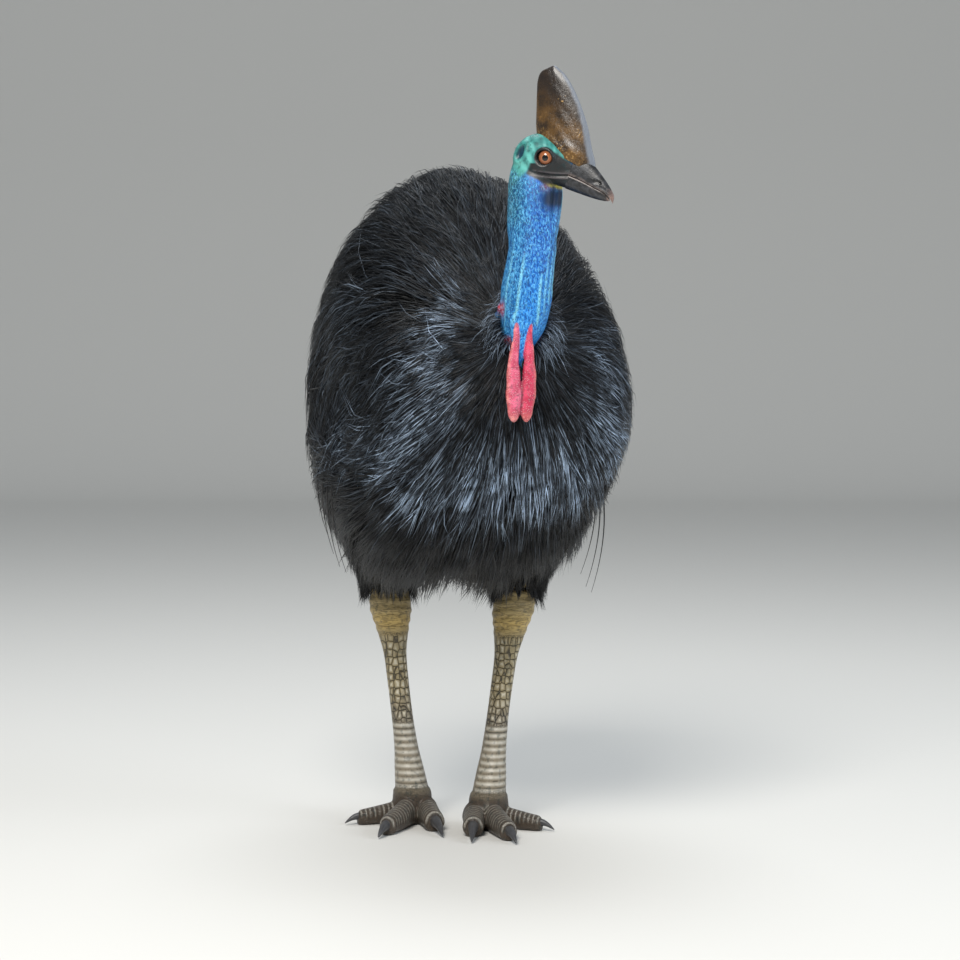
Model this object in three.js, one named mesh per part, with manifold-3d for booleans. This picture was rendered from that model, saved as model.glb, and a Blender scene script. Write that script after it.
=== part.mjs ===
// A southern cassowary, life size, standing on both feet with its head turned to its left.
// Millimetres, +Z up. The bird faces -Y and its left side is towards +X.
// The body is a rounded core under tiers of drooping locks, which stand for its long hair-like feathers.

import * as THREE from "three";
import { mergeVertices } from "three/addons/utils/BufferGeometryUtils.js";
import Module from "manifold-3d";

const wasm = await Module();
wasm.setup();

// Driving dimensions

const GAP = 0.3; // between pieces that touch
const CLEAR = 0.4; // how much larger a piece is made where it cuts its neighbour clear
const SINK = 12; // how deep a lock's root is sunk into the core
const STAND = 13; // how far a lock's tip stands out past the body's outside

// The outside of the body plumage, section by section from the neck root to the rump.
// Each row: place along the body, top y and z, bottom y and z, half width.
const BODY = [
  [0.0, -306, 957, -362, 880, 50],
  [0.07, -262, 1008, -380, 820, 118],
  [0.16, -205, 1070, -376, 736, 184],
  [0.28, -138, 1136, -328, 636, 236],
  [0.42, -68, 1188, -212, 552, 266],
  [0.57, 10, 1214, -42, 502, 274],
  [0.71, 108, 1190, 96, 500, 256],
  [0.83, 212, 1116, 196, 530, 214],
  [0.92, 300, 1000, 272, 576, 156],
  [1.0, 372, 850, 334, 616, 96],
];
const WIDEST = 0.42; // how far up a section it is widest
// Depth of the coat above the core, from the neck root to the rump.
const COAT = [
  [0.0, 6],
  [0.1, 20],
  [0.3, 34],
  [0.8, 38],
  [1.0, 46],
];
const TAIL_FROM = 0.84; // where the rump is parted from the torso
const CORE_END = 0.97;

// Each row: place along the neck, centre x, y, z, half width, half depth.
const NECK = [
  [0.0, 25, -354, 1226, 30, 32],
  [0.12, 27, -360, 1190, 43, 40],
  [0.22, 26, -366, 1155, 46, 42],
  [0.45, 16, -374, 1075, 42, 39],
  [0.7, 6, -372, 1000, 45, 41],
  [0.86, 4, -360, 950, 40, 42],
  [1.0, 2, -338, 915, 32, 34],
];
const NECK_PART = 0.58; // where the blue upper neck ends and the red-sided lower neck begins

const HEAD = { x: 45, y: -386, z: 1225, turn: 47, nod: 24 }; // midway between the eyes, with its turn and nod in degrees

const vec = (x, y, z) => new THREE.Vector3(x, y, z);
const radians = THREE.MathUtils.degToRad;
const mix = THREE.MathUtils.lerp;

// Closed shapes. Each takes a three.js solid of unit size and puts its vertices where `place` says.

function closed(geometry, place) {
  geometry.deleteAttribute("normal");
  geometry.deleteAttribute("uv");
  const merged = mergeVertices(geometry, 1e-5);
  const position = merged.attributes.position;
  for (let i = 0; i < position.count; i++) {
    const p = place(position.getX(i), position.getY(i), position.getZ(i));
    position.setXYZ(i, p.x, p.y, p.z);
  }
  return solidOf(position.array, new Uint32Array(merged.index.array));
}

function solidOf(vertices, triangles) {
  const corner = (n) => new THREE.Vector3().fromArray(vertices, 3 * triangles[n]);
  let volume = 0;
  for (let i = 0; i < triangles.length; i += 3)
    volume += corner(i).dot(corner(i + 1).cross(corner(i + 2)));
  if (volume < 0)
    for (let i = 0; i < triangles.length; i += 3)
      [triangles[i + 1], triangles[i + 2]] = [triangles[i + 2], triangles[i + 1]];
  return new wasm.Manifold(
    new wasm.Mesh({ numProp: 3, vertProperties: vertices, triVerts: triangles }),
  );
}

// A capped tube: place(turn, along, reach), where reach is 1 on the wall and 0 at the middle of a cap.
function tube(sides, steps, place) {
  return closed(new THREE.CylinderGeometry(1, 1, 1, sides, steps), (x, y, z) =>
    place(Math.atan2(z, x), 0.5 - y, Math.hypot(x, z)),
  );
}

// A capped tube that ends in a point at along = 1.
function spike(sides, steps, place) {
  return closed(new THREE.ConeGeometry(1, 1, sides, steps), (x, y, z) =>
    place(Math.atan2(z, x), 0.5 + y, Math.min(1, Math.hypot(x, z) * 1e6)),
  );
}

// A ball that is pointed at both ends of `along`.
function ball(sides, steps, place) {
  return closed(new THREE.SphereGeometry(1, sides, steps), (x, y, z) =>
    place(Math.atan2(z, x), Math.acos(THREE.MathUtils.clamp(y, -1, 1)) / Math.PI),
  );
}

function ellipsoid(centre, half, sides = 10, steps = 6) {
  return closed(new THREE.SphereGeometry(1, sides, steps), (x, y, z) =>
    vec(centre.x + x * half.x, centre.y + z * half.y, centre.z + y * half.z),
  );
}

// A smooth reading of a table whose rows are [where, value, ...].
function read(table, where) {
  const last = table.length - 1;
  const found = table.findIndex((row, n) => n > 0 && where <= row[0]);
  const n = found < 0 ? last : found;
  const [from, to] = [table[n - 1], table[n]];
  const span = to[0] - from[0];
  const u = (where - from[0]) / span;
  const slope = (row, k) => {
    const before = table[Math.max(row - 1, 0)];
    const after = table[Math.min(row + 1, last)];
    return ((after[k] - before[k]) / (after[0] - before[0])) * span;
  };
  return from.slice(1).map((_, i) => {
    const k = i + 1;
    if (u < 0) return from[k] + slope(n - 1, k) * u;
    if (u > 1) return to[k] + slope(n, k) * (u - 1);
    const [a, b] = [slope(n - 1, k), slope(n, k)];
    const rest = to[k] - from[k];
    return from[k] + u * (a + u * (3 * rest - 2 * a - b + u * (a + b - 2 * rest)));
  });
}

// Draws from a seeded sequence, from -1 to 1.
function seeded(seed) {
  return () => {
    seed = (seed * 16807) % 2147483647;
    return (seed / 2147483647) * 2 - 1;
  };
}

// The largest closed surface of a solid.
function whole(solid) {
  return solid.decompose().reduce((a, b) => (b.volume() > a.volume() ? b : a));
}

function fused(solids) {
  return wasm.Manifold.union(solids);
}

// Body plumage

const BELLY_POWER = 0.72; // under 1 makes the lower half fuller than an ellipse

// The widest place of a section and its upward direction, with its height above and below.
function section(t) {
  const [topY, topZ, lowY, lowZ, half] = read(BODY, t);
  const [rise, lean] = [topZ - lowZ, topY - lowY];
  const tall = Math.hypot(rise, lean);
  return {
    half,
    y: mix(lowY, topY, WIDEST),
    z: mix(lowZ, topZ, WIDEST),
    upY: lean / tall,
    upZ: rise / tall,
    above: tall * (1 - WIDEST),
    below: tall * WIDEST,
  };
}

// A point `depth` under the plumage's outside. Turn 0 is the left side, a quarter turn the back.
function bodyPoint(t, turn, depth) {
  const { half, y, z, upY, upZ, above, below } = section(t);
  const [c, s] = [Math.cos(turn), Math.sin(turn)];
  const power = s > 0 ? 1 : BELLY_POWER;
  const across = (half - depth) * Math.sign(c) * Math.abs(c) ** power;
  const up = ((s > 0 ? above : below) - depth) * Math.sign(s) * Math.abs(s) ** power;
  return vec(across, y + up * upY, z + up * upZ);
}

const coatDepth = (t) => read(COAT, t)[0];

function bodyCore(from, to, grow, sides = 18, steps = 12) {
  return tube(sides, steps, (turn, along, reach) => {
    const t = mix(from, to, along);
    const skin = bodyPoint(t, turn, coatDepth(t) - grow);
    const { y, z } = section(t);
    return vec(0, y, z).lerp(skin, reach);
  });
}

// How far apart two neighbouring points lie for a small step along or round the body.
function stretch(t, turn) {
  const here = bodyPoint(t, turn, 0);
  return {
    along: bodyPoint(t + 0.01, turn, 0).distanceTo(here) / 0.01,
    round: bodyPoint(t, turn + 0.02, 0).distanceTo(here) / 0.02,
  };
}

const LOCK_STEPS = 3;

// Where a walk of a given length backwards along the body ends.
function travel(t, turn, distance) {
  const strides = 8;
  for (let i = 0; i < strides; i++) t += distance / strides / stretch(t, turn).along;
  return t;
}

// The corners of a lock's flat section: an edge to either side and a low ridge above and below.
// A grown section stands off every one of its faces by the same distance.
function flatCorner(side, wide, deep, grow) {
  const [c, s] = [Math.cos(side), Math.sin(side)];
  const [acrossways, upright] = [Math.abs(c) > 0.5, Math.abs(s) > 0.5];
  if (acrossways && upright) return [Math.sign(c) * wide, Math.sign(s) * grow];
  return acrossways ? [Math.sign(c) * (wide + grow), 0] : [0, Math.sign(s) * (deep + grow)];
}

// A flat tapered lock, rooted in the core and lying along the body, which droops to either side.
function bodyLock({ t, turn, length, width, thick, droop, sway }, grow) {
  const root = coatDepth(t) + SINK;
  const on = (s, across, up) => {
    const place = travel(t, turn, length * s);
    const bend = turn - droop * Math.cos(turn) * s * s + sway * s;
    return bodyPoint(place, bend + across / stretch(place, bend).round, mix(root, -STAND, s) - up);
  };
  const tip = on(1, 0, 0);
  const ahead = tip.clone().sub(on(1 - 1 / LOCK_STEPS, 0, 0)).setLength(3 * grow);
  return spike(grow ? 8 : 4, LOCK_STEPS, (side, s) => {
    if (s >= 1) return tip.clone().add(ahead);
    const wide = (width / 2) * Math.min(1, 0.62 + 1.3 * s) * Math.sqrt(1 - s);
    const deep = (thick / 2) * (1 - 0.7 * s);
    return on(s, ...flatCorner(side, wide, deep, grow));
  });
}

// Tiers of locks from the neck root backwards.
// Each row: place along the body, number of locks, length, width.
const BODY_TIERS = [
  [0.04, 6, 122, 82],
  [0.11, 8, 172, 108],
  [0.2, 9, 218, 140],
  [0.3, 10, 244, 152],
  [0.41, 10, 256, 166],
  [0.52, 10, 262, 168],
  [0.63, 10, 262, 162],
  [0.74, 8, 256, 168],
];
const TAIL_TIERS = [
  [0.86, 6, 200, 140],
  [0.925, 5, 160, 112],
];

function tierLocks(tiers, seed) {
  const draw = seeded(seed);
  return tiers.flatMap(([t, count, length, width], tier) =>
    Array.from({ length: count }, (_, n) => ({
      t: t + 0.012 * draw(),
      turn: ((n + 0.5 * (tier % 2) + 0.16 * draw()) / count) * 2 * Math.PI + Math.PI / 2,
      length: length * (1 + 0.1 * draw()),
      width: width * (1 + 0.08 * draw()),
      thick: 7,
      droop: 0.32,
      sway: 0.05 * draw(),
    })),
  );
}

const torsoLocks = tierLocks(BODY_TIERS, 71);
const tailLocks = tierLocks(TAIL_TIERS, 29);

function torsoSolid(grow) {
  const core = bodyCore(0, TAIL_FROM + grow / 700, grow);
  return fused([core, ...torsoLocks.map((lock) => bodyLock(lock, grow))]);
}

function tailSolid(grow) {
  const core = bodyCore(TAIL_FROM + GAP / 700, CORE_END, grow, 16, 3);
  return fused([core, ...tailLocks.map((lock) => bodyLock(lock, grow))]);
}

// Neck

const FOLDS = 9; // long folds round the neck
function neckSolid(from, to, steps, grow = 0) {
  return tube(16, steps, (turn, along, reach) => {
    const t = mix(from, to, along);
    const [x, y, z, half, deep] = read(NECK, t);
    const [, ahead, over] = read(NECK, t + 0.01);
    const pitch = Math.atan2(ahead - y, z - over);
    const fold = 1.6 * t * Math.cos(FOLDS * turn) * reach;
    const across = (half + fold + grow) * Math.cos(turn) * reach;
    const out = (deep + fold + grow) * Math.sin(turn) * reach;
    return vec(x + across, y + out * Math.cos(pitch), z + out * Math.sin(pitch));
  });
}

// The point of loose blue skin between the wattles.
const BIB = { x: -8, top: 962, tip: 868, y: -392, half: 30 };
function bibSolid(grow = 0) {
  return spike(8, 4, (side, along) => {
    const wide = (BIB.half + grow) * (1 - along) ** 0.8;
    const deep = (16 + grow) * (1 - along) ** 0.6;
    const z = mix(BIB.top, BIB.tip - grow, along);
    return vec(BIB.x - 8 * along + Math.cos(side) * wide, BIB.y - 6 * along + Math.sin(side) * deep, z);
  });
}

// Red caruncles in a short row down either side of the neck's root.
function caruncles() {
  return [-1, 1].flatMap((side) =>
    [0.76, 0.83, 0.9].map((t, n) => {
      const [x, y, z, half] = read(NECK, t);
      const size = 5.5 + 2 * ((n + (side > 0 ? 1 : 0)) % 2);
      return ellipsoid(vec(x + side * (half - 2), y + 12 + 3 * n, z), vec(size, size * 1.3, size * 1.5), 6, 3);
    }),
  );
}

// Each wattle hangs from the bib's edge as a long flattened drop.
const WATTLE = { top: 950, bottom: 774, x: -17, y: -410, half: 13.5, deep: 7.5, apart: 14.2 };
const WATTLE_SHAPE = [
  [0.0, 0.16, 0.2],
  [0.2, 0.42, 0.5],
  [0.42, 0.74, 0.85],
  [0.7, 1.0, 1.0],
  [0.9, 0.8, 0.85],
  [0.975, 0.42, 0.5],
  [1.0, 0.0, 0.0],
];
function wattleSolid(side, grow = 0) {
  return spike(9, 8, (turn, along) => {
    const s = along < 1 ? along * 0.99 : 1;
    const [wide, deep] = read(WATTLE_SHAPE, s);
    const seam = side * Math.max(0, 10 * (1 - 2.4 * s));
    const x = WATTLE.x + side * WATTLE.apart + seam + Math.cos(turn) * (WATTLE.half * wide + grow * (s < 1));
    const y = WATTLE.y + 10 * (1 - s) ** 2 - 2 + Math.sin(turn) * (WATTLE.deep * deep + grow * (s < 1));
    return vec(x, y, mix(WATTLE.top, WATTLE.bottom, s) - grow * (s === 1));
  });
}

// Head. Its own frame has the middle between the eyes at the origin, the bill towards -Y and +Z up.

// Each row: how far forward, middle height, height above, height below, half width.
const SKULL = [
  [-66, -14, 0, 0, 0],
  [-62, -14, 17, 18, 15],
  [-50, -13, 33, 34, 26],
  [-28, -11, 44, 42, 33],
  [0, -10, 42, 37, 34],
  [20, -11, 37, 30, 27],
  [36, -11, 34, 27, 20],
  [50, -11, 30, 25, 15.5],
];
const BILL_FROM = 46; // where the horn of the bill starts
// Each row: how far forward, ridge height, mouth line height, half width.
const UPPER_BILL = [
  [BILL_FROM, 30, -12.5, 16],
  [64, 27, -11.6, 14],
  [80, 18.5, -12.3, 12],
  [97, 10, -13.6, 10],
  [114, 0.5, -15, 8],
  [127, -8.5, -19, 5.5],
  [133, -15, -23.5, 3.6],
  [136, -27, -27, 0],
];
// Each row: how far forward, mouth line height, lower edge height, half width.
const LOWER_BILL = [
  [BILL_FROM, -12.8, -37.5, 15],
  [69, -12.2, -35.5, 12.6],
  [97, -14, -32.5, 9.2],
  [114, -15.5, -29.5, 6.4],
  [124, -19.5, -26.5, 3.6],
  [129, -23.5, -23.5, 0],
];
const LIP = 0.6; // half the gap along the mouth line

const headPoint = (side, forward, up) => vec(side, -forward, up);

function skullSolid(grow = 0) {
  const rear = SKULL[0][0];
  const front = SKULL[SKULL.length - 1][0];
  return ball(16, 12, (turn, along) => {
    const bend = Math.cos(along * Math.PI);
    const f = bend > 0 ? rear * bend : front * -bend;
    const [middle, above, below, half] = read(SKULL, f);
    const pole = along <= 0 || along >= 1;
    if (pole) return headPoint(0, f - 2 * grow * Math.sign(bend), middle);
    const out = Math.sin(turn);
    const up = ((out > 0 ? above : below) + grow) * out;
    return headPoint((half + grow) * Math.cos(turn), f - grow * bend, middle + up);
  });
}

// A bill half: its wall runs from the ridge to the mouth line, rounded on the outside and flat at the mouth.
function billSolid(table, ridgeFirst, grow = 0) {
  const from = table[0][0];
  const tip = table[table.length - 1][0];
  return spike(10, 8, (turn, along, reach) => {
    const inside = mix(from, tip, 1 - (1 - along) ** 1.35);
    const f = inside + grow * (along >= 1) - grow * (along <= 0);
    const [first, second, half] = read(table, inside);
    const [outer, mouth] = ridgeFirst ? [first, second + LIP] : [second, first - LIP];
    const s = Math.sin(turn);
    const above = s > 0.01;
    const height = above ? Math.abs(outer - mouth) * s ** 0.9 + grow : -grow;
    const width = (half + grow) * Math.cos(turn) * (above ? 1 : 1 + 0.25 * s);
    const up = mouth + (ridgeFirst ? height : -height) * reach;
    if (along >= 1) return headPoint(0, f, (outer + mouth) / 2);
    return headPoint(width * reach, f, up);
  });
}

// The casque: a tall keeled blade of horn. Each row: place up the casque, front f and z, rear f and z, half width.
const CASQUE = [
  [0.0, 84, 6, -36, 17, 19],
  [0.14, 79, 22, -43, 29, 19],
  [0.3, 62, 44, -50, 42, 16.5],
  [0.48, 42, 72, -60, 66, 13],
  [0.66, 18, 98, -70, 90, 10.5],
  [0.82, -8, 121, -77, 110, 8.5],
  [0.94, -34, 138, -76, 127, 6.5],
  [1.0, -56, 145, -62, 142, 3],
];
function casqueSolid(grow = 0) {
  return tube(12, 11, (turn, along, reach) => {
    const [frontF, frontZ, rearF, rearZ, half] = read(CASQUE, along);
    const c = Math.cos(turn);
    const u = 0.5 + 0.5 * c; // 0 at the rear, 1 at the keel
    const pinch = 1 - 0.45 * Math.max(0, c) ** 2;
    const side = Math.sin(turn) * (half * pinch + grow) * reach;
    const shift = 0.5 + (u - 0.5) * reach;
    const f = mix(rearF - grow, frontF + grow, shift);
    const z = mix(rearZ, frontZ, shift) + grow * (along >= 1) - grow * (along <= 0);
    return headPoint(side, f, z);
  });
}

const EYE = { side: 21.5, radius: 14.5 };
const eyeSolid = (side, grow = 0) => {
  const r = EYE.radius + grow;
  return ellipsoid(headPoint(side * EYE.side, 0, 0), vec(r, r, r), 12, 8);
};

// The rim of the eyelids, thicker along the brow.
function lidSolid(side, grow = 0) {
  return closed(new THREE.TorusGeometry(14, 1, 4, 12), (x, y, z) => {
    const ring = Math.hypot(x, y);
    const thick = (y > 0 ? 4.2 : 3) + grow;
    const across = 14.2 + (ring - 14) * thick;
    const tilt = 0.2 * x;
    return headPoint(side * (29.5 + z * thick - tilt), (x / ring) * across, (y / ring) * across);
  });
}

const EAR = { f: -44, z: -13 };
const earHole = (side) => ellipsoid(headPoint(side * 30, EAR.f, EAR.z), vec(9, 6, 12.5), 8, 5);
function earRim(side, grow = 0) {
  return closed(new THREE.TorusGeometry(1, 0.22 + grow / 8, 4, 10), (x, y, z) =>
    headPoint(side * (26.5 + z * 10 + 0.1 * EAR.f * x), EAR.f + x * 8.5, EAR.z + y * 15),
  );
}

// The mouth line carried back from the bill to the gape, as a groove on either cheek.
function gapeGroove(side) {
  const groove = new THREE.BoxGeometry(14, 62, 1.8).rotateX(radians(19)).toNonIndexed();
  return closed(groove, (x, y, z) => vec(side * (25 + x), -22 + y, -22 + z));
}

function nostril(side) {
  return ellipsoid(headPoint(side * 10, 98, -3), vec(3.4, 7.5, 2.8), 8, 6);
}

// Legs

const ANKLE_RISE = 402;
const FEET = {
  left: { x: 56, y: -10, turn: 0, ankle: vec(126, 42, ANKLE_RISE), knee: vec(112, -10, 600) },
  right: { x: -64, y: 84, turn: -37, ankle: vec(-90, 150, ANKLE_RISE), knee: vec(-106, 60, 600) },
};
// The headings of the toes, turned from straight ahead towards the bird's left.
const HEADINGS = {
  left: { inner: -20, middle: -2, outer: 48 },
  right: { inner: -5, middle: -37, outer: -90 },
};
const FOOT_TOP = 66; // where the shank meets the foot

// Each row: place up the shank, half width, half depth.
const SHANK = [
  [0.0, 31, 31],
  [0.08, 28, 30],
  [0.2, 22.5, 26],
  [0.34, 20, 23],
  [0.55, 20, 22],
  [0.68, 22, 24],
  [0.8, 31, 31],
  [0.9, 39, 38],
  [1.0, 34, 34],
];
const SHANK_SCUTES = 9;
const SCUTED = 0.4; // how far up the front the broad scutes go
const SHANK_TOP = 34; // the ankle's height above its middle

function shankPoint(leg, u) {
  const foot = vec(leg.x, leg.y, FOOT_TOP);
  const top = leg.ankle.clone().add(vec(0, -4, SHANK_TOP));
  const point = foot.clone().lerp(top, u);
  return point.add(vec(0, 10 * Math.sin(Math.PI * u), 0));
}

// The front of the shank has broad scutes, stepped like tiles.
function shankSolid(leg, grow = 0) {
  const plain = 6;
  const steps = 2 * SHANK_SCUTES + plain;
  const turn = radians(leg.turn) * 0.5;
  return tube(10, steps, (angle, along, reach) => {
    const ring = Math.round(along * steps);
    const scute = Math.min(ring, 2 * SHANK_SCUTES);
    const rest = ring - scute;
    const low = (Math.floor(scute / 2) + (scute % 2 ? 0.9 : 0)) / SHANK_SCUTES;
    const u = mix(SCUTED * low, 1, rest / plain);
    const [half, deep] = read(SHANK, u);
    const front = Math.max(0, -Math.sin(angle));
    const step = scute % 2 && rest === 0 ? 0 : rest === 0 ? 1.8 * front : 0;
    const [c, s] = [Math.cos(angle) * (half + grow + step), Math.sin(angle) * (deep + grow + step)];
    const p = shankPoint(leg, u);
    const end = u === 0 ? GAP : 0;
    return vec(
      p.x + reach * (c * Math.cos(turn) - s * Math.sin(turn)),
      p.y + reach * (c * Math.sin(turn) + s * Math.cos(turn)),
      p.z + end,
    );
  });
}

// The foot's root, a round pad that the three toes grow from. In the foot's own frame the middle toe points to -Y.
function padSolid(grow = 0) {
  const table = [
    [0, 24, 24],
    [0.12, 31, 30],
    [0.5, 37, 34],
    [0.85, 36, 34],
    [1, 33, 32],
  ];
  return tube(12, 4, (turn, along, reach) => {
    const [half, deep] = read(table, along);
    const z = along * FOOT_TOP + (along === 1 ? grow : 0);
    return vec(Math.cos(turn) * (half + grow) * reach, 2 + Math.sin(turn) * (deep + grow) * reach, z);
  });
}

// Each toe: how far its root is set to the inner side, length of flesh, half width and height at root and end,
// number of scutes, and the claw's length and half width.
const TOES = {
  middle: { inset: 0, length: 134, half: [21, 17], high: [56, 33], scutes: 8, claw: 44, clawHalf: 12.5 },
  inner: { inset: 27, length: 84, half: [22, 18], high: [52, 36], scutes: 5, claw: 68, clawHalf: 13 },
  outer: { inset: -17, length: 86, half: [17, 13], high: [44, 26], scutes: 6, claw: 28, clawHalf: 9 },
};

// A toe in its own frame, growing towards -Y, with tiled scutes above and pads below that rest at z = 0.
function toeSolid(toe, grow = 0) {
  const steps = 2 * toe.scutes + 2;
  return tube(7, steps, (angle, along, reach) => {
    const ring = Math.round(along * steps);
    const scute = Math.min(ring, 2 * toe.scutes);
    const u = (Math.floor(scute / 2) + (scute % 2 ? 0.88 : 0)) / (toe.scutes + 0.7) + (ring - scute) * 0.05;
    const rounding = ring === steps ? 0.55 : ring === steps - 1 ? 0.86 : 1;
    const half = mix(toe.half[0], toe.half[1], u) * rounding + grow;
    const high = mix(toe.high[0], toe.high[1], u ** 0.8) * (ring === steps ? 0.8 : 1) + grow;
    const turn = angle + Math.PI / 14;
    const s = Math.sin(turn);
    const tile = scute % 2 === 0 && ring < steps ? 2.2 * Math.max(0, s) : 0;
    const pads = 2.5 * (0.5 - 0.5 * Math.cos(u * toe.length / 12)) * (ring > 1 ? 1 : 0);
    const z = high * 0.46 + s * (high * 0.54 + tile);
    return vec(
      Math.cos(turn) * (half + tile * 0.4) * reach,
      -u * toe.length - grow * (ring === steps),
      Math.max(s < -0.5 ? pads - grow : -grow, high * 0.46 + (z - high * 0.46) * reach),
    );
  });
}

// A claw that curves down to just above the floor.
function clawSolid(toe, grow = 0) {
  const root = toe.length - 14;
  const middle = toe.high[1] * 0.5;
  return spike(7, 4, (angle, along, reach) => {
    const thick = (1 - along) ** 0.6;
    const forward = root - grow * (along === 0) + (toe.claw + 14 + grow) * along;
    const drop = mix(middle, 4, along) + 7 * Math.sin(Math.PI * along);
    const half = (toe.clawHalf + grow) * thick * reach;
    return vec(Math.cos(angle) * half * 0.85, -forward, Math.max(1.2, drop + Math.sin(angle) * half));
  });
}

// The feathered thigh, in the leg's own place.
// Each row: place down the thigh, half width and depth of the plumage's outside.
const THIGH = [
  [0.0, 104, 118],
  [0.3, 98, 112],
  [0.6, 82, 92],
  [0.85, 62, 66],
  [1.0, 52, 54],
];
const THIGH_COAT = 20;
function thighPoint(leg, t, turn, depth) {
  const top = leg.knee;
  const end = leg.ankle.clone().add(vec(0, -4, SHANK_TOP + GAP));
  const p = top.clone().lerp(end, t);
  const [half, deep] = read(THIGH, t);
  return vec(p.x + Math.cos(turn) * (half - depth), p.y + Math.sin(turn) * (deep - depth), p.z);
}

const THIGH_TIERS = [
  [0.1, 5, 104, 104],
  [0.5, 5, 98, 82],
];
function thighSolid(leg, seed) {
  const draw = seeded(seed);
  const core = tube(12, 3, (turn, along, reach) => {
    const middle = thighPoint(leg, along, 0, 0).lerp(thighPoint(leg, along, Math.PI, 0), 0.5);
    return middle.lerp(thighPoint(leg, along, turn, THIGH_COAT), reach);
  });
  const height = leg.knee.z - leg.ankle.z - SHANK_TOP;
  const locks = THIGH_TIERS.flatMap(([t, count, length, width], tier) =>
    Array.from({ length: count }, (_, n) => {
      const turn = ((n + 0.5 * (tier % 2) + 0.15 * draw()) / count) * 2 * Math.PI;
      const reach = (length * (1 + 0.12 * draw())) / height;
      return spike(4, 3, (side, s) => {
        const wide = (width / 2) * Math.min(1, 0.7 + s) * Math.sqrt(1 - s);
        const deep = 3 * (1 - 0.7 * s) * (s < 1);
        const round = turn + (s < 1 ? (Math.cos(side) * wide) / 80 : 0);
        return thighPoint(leg, t + reach * s, round, (THIGH_COAT + 8) * (1 - s) - Math.sin(side) * deep);
      });
    }),
  );
  return fused([core, ...locks]);
}

// The stunted wing: a small stub under the plumage with five bare quills that hang along the flank.
const WING = {
  quills: 4,
  left: { x: 236, y: -60, z: 724 },
  right: { x: 246, y: -60, z: 776 },
};
function wingSolid(side, grow = 0) {
  const root = side > 0 ? WING.left : WING.right;
  const middle = vec(side * (root.x - 34), root.y, root.z);
  const stub = ellipsoid(middle, vec(34 + grow, 36 + grow, 17 + grow), 10, 5);
  const quills = Array.from({ length: WING.quills }, (_, n) => {
    const spread = n / (WING.quills - 1) - 0.5;
    const length = 300 - 40 * Math.abs(spread) - 20 * n;
    return spike(5, 4, (angle, s) => {
      const thick = (2.9 + grow) * (1 - 0.85 * s) * (s < 1);
      const x = root.x - 22 + 62 * Math.sin(1.9 * s) - 42 * s * s + spread * 6 * s;
      const y = root.y + spread * 44 + spread * 60 * s + 24 * s;
      const z = root.z - 4 - length * (0.25 * s + 0.75 * s * s ** 0.4);
      return vec(side * (x + Math.cos(angle) * thick), y + Math.sin(angle) * thick, z);
    });
  });
  return fused([stub, ...quills]);
}

// Materials, with the colours that the bird has in daylight

const colour = (hex, roughness, metalness = 0) =>
  new THREE.MeshStandardMaterial({ color: hex, roughness, metalness });
const MATERIAL = {
  plumage: colour(0x15161a, 0.55),
  blueSkin: colour(0x1668b8, 0.5),
  paleSkin: colour(0x4fb3a8, 0.5),
  redSkin: colour(0xc8303c, 0.5),
  bill: colour(0x1a1716, 0.35),
  casque: colour(0x4a3018, 0.3),
  eye: colour(0xa0501c, 0.1),
  scale: colour(0x9a8c68, 0.6),
  toe: colour(0x5d5446, 0.65),
  claw: colour(0x16161a, 0.35),
  quill: colour(0x0d0d0e, 0.4),
};

const group = new THREE.Group();

// The vertices and triangles of a solid as a three.js geometry, with close vertices joined.
function geometryOf(solid) {
  const { vertProperties, triVerts, numProp } = solid.getMesh();
  const position = new Float32Array((vertProperties.length / numProp) * 3);
  for (let i = 0; i < position.length; i++)
    position[i] = vertProperties[Math.floor(i / 3) * numProp + (i % 3)];
  const geometry = new THREE.BufferGeometry();
  geometry.setAttribute("position", new THREE.BufferAttribute(position, 3));
  geometry.setIndex(new THREE.BufferAttribute(triVerts, 1));
  return mergeVertices(geometry, 1e-3);
}

function add(parent, name, solid, material) {
  const joined = geometryOf(whole(solid));
  const settled = whole(solidOf(joined.attributes.position.array, new Uint32Array(joined.index.array)));
  const geometry = geometryOf(settled);
  geometry.computeVertexNormals();
  const mesh = new THREE.Mesh(geometry, material);
  mesh.name = name;
  parent.add(mesh);
  return mesh;
}

// Head, in its own turned group
const headGroup = new THREE.Group();
headGroup.position.set(HEAD.x, HEAD.y, HEAD.z);
headGroup.rotation.set(radians(HEAD.nod), 0, radians(HEAD.turn), "ZXY");
headGroup.updateMatrix();
group.add(headGroup);

const upperBill = billSolid(UPPER_BILL, true);
const lowerBill = billSolid(LOWER_BILL, false);
const billSpace = fused([billSolid(UPPER_BILL, true, CLEAR), billSolid(LOWER_BILL, false, CLEAR)]);
const casqueSpace = casqueSolid(1.5 * CLEAR);
const sides = { left: 1, right: -1 };
const sideSigns = Object.values(sides);
const skull = fused([skullSolid(), ...sideSigns.map(lidSolid), ...sideSigns.map(earRim)]);
const head = skull
  .subtract(fused(sideSigns.map((side) => eyeSolid(side, CLEAR))))
  .subtract(fused(sideSigns.map(earHole)))
  .subtract(fused(sideSigns.map(gapeGroove)))
  .subtract(billSpace)
  .subtract(casqueSpace);
add(headGroup, "head", head, MATERIAL.paleSkin);
add(
  headGroup,
  "bill_upper",
  upperBill.subtract(fused(sideSigns.map(nostril))).subtract(casqueSpace),
  MATERIAL.bill,
);
add(headGroup, "bill_lower", lowerBill, MATERIAL.bill);
const eyeSpaces = fused(sideSigns.map((side) => eyeSolid(side, CLEAR)));
add(headGroup, "casque", casqueSolid().subtract(eyeSpaces), MATERIAL.casque);
for (const [name, side] of Object.entries(sides))
  add(headGroup, `eye_${name}`, eyeSolid(side), MATERIAL.eye);

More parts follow.
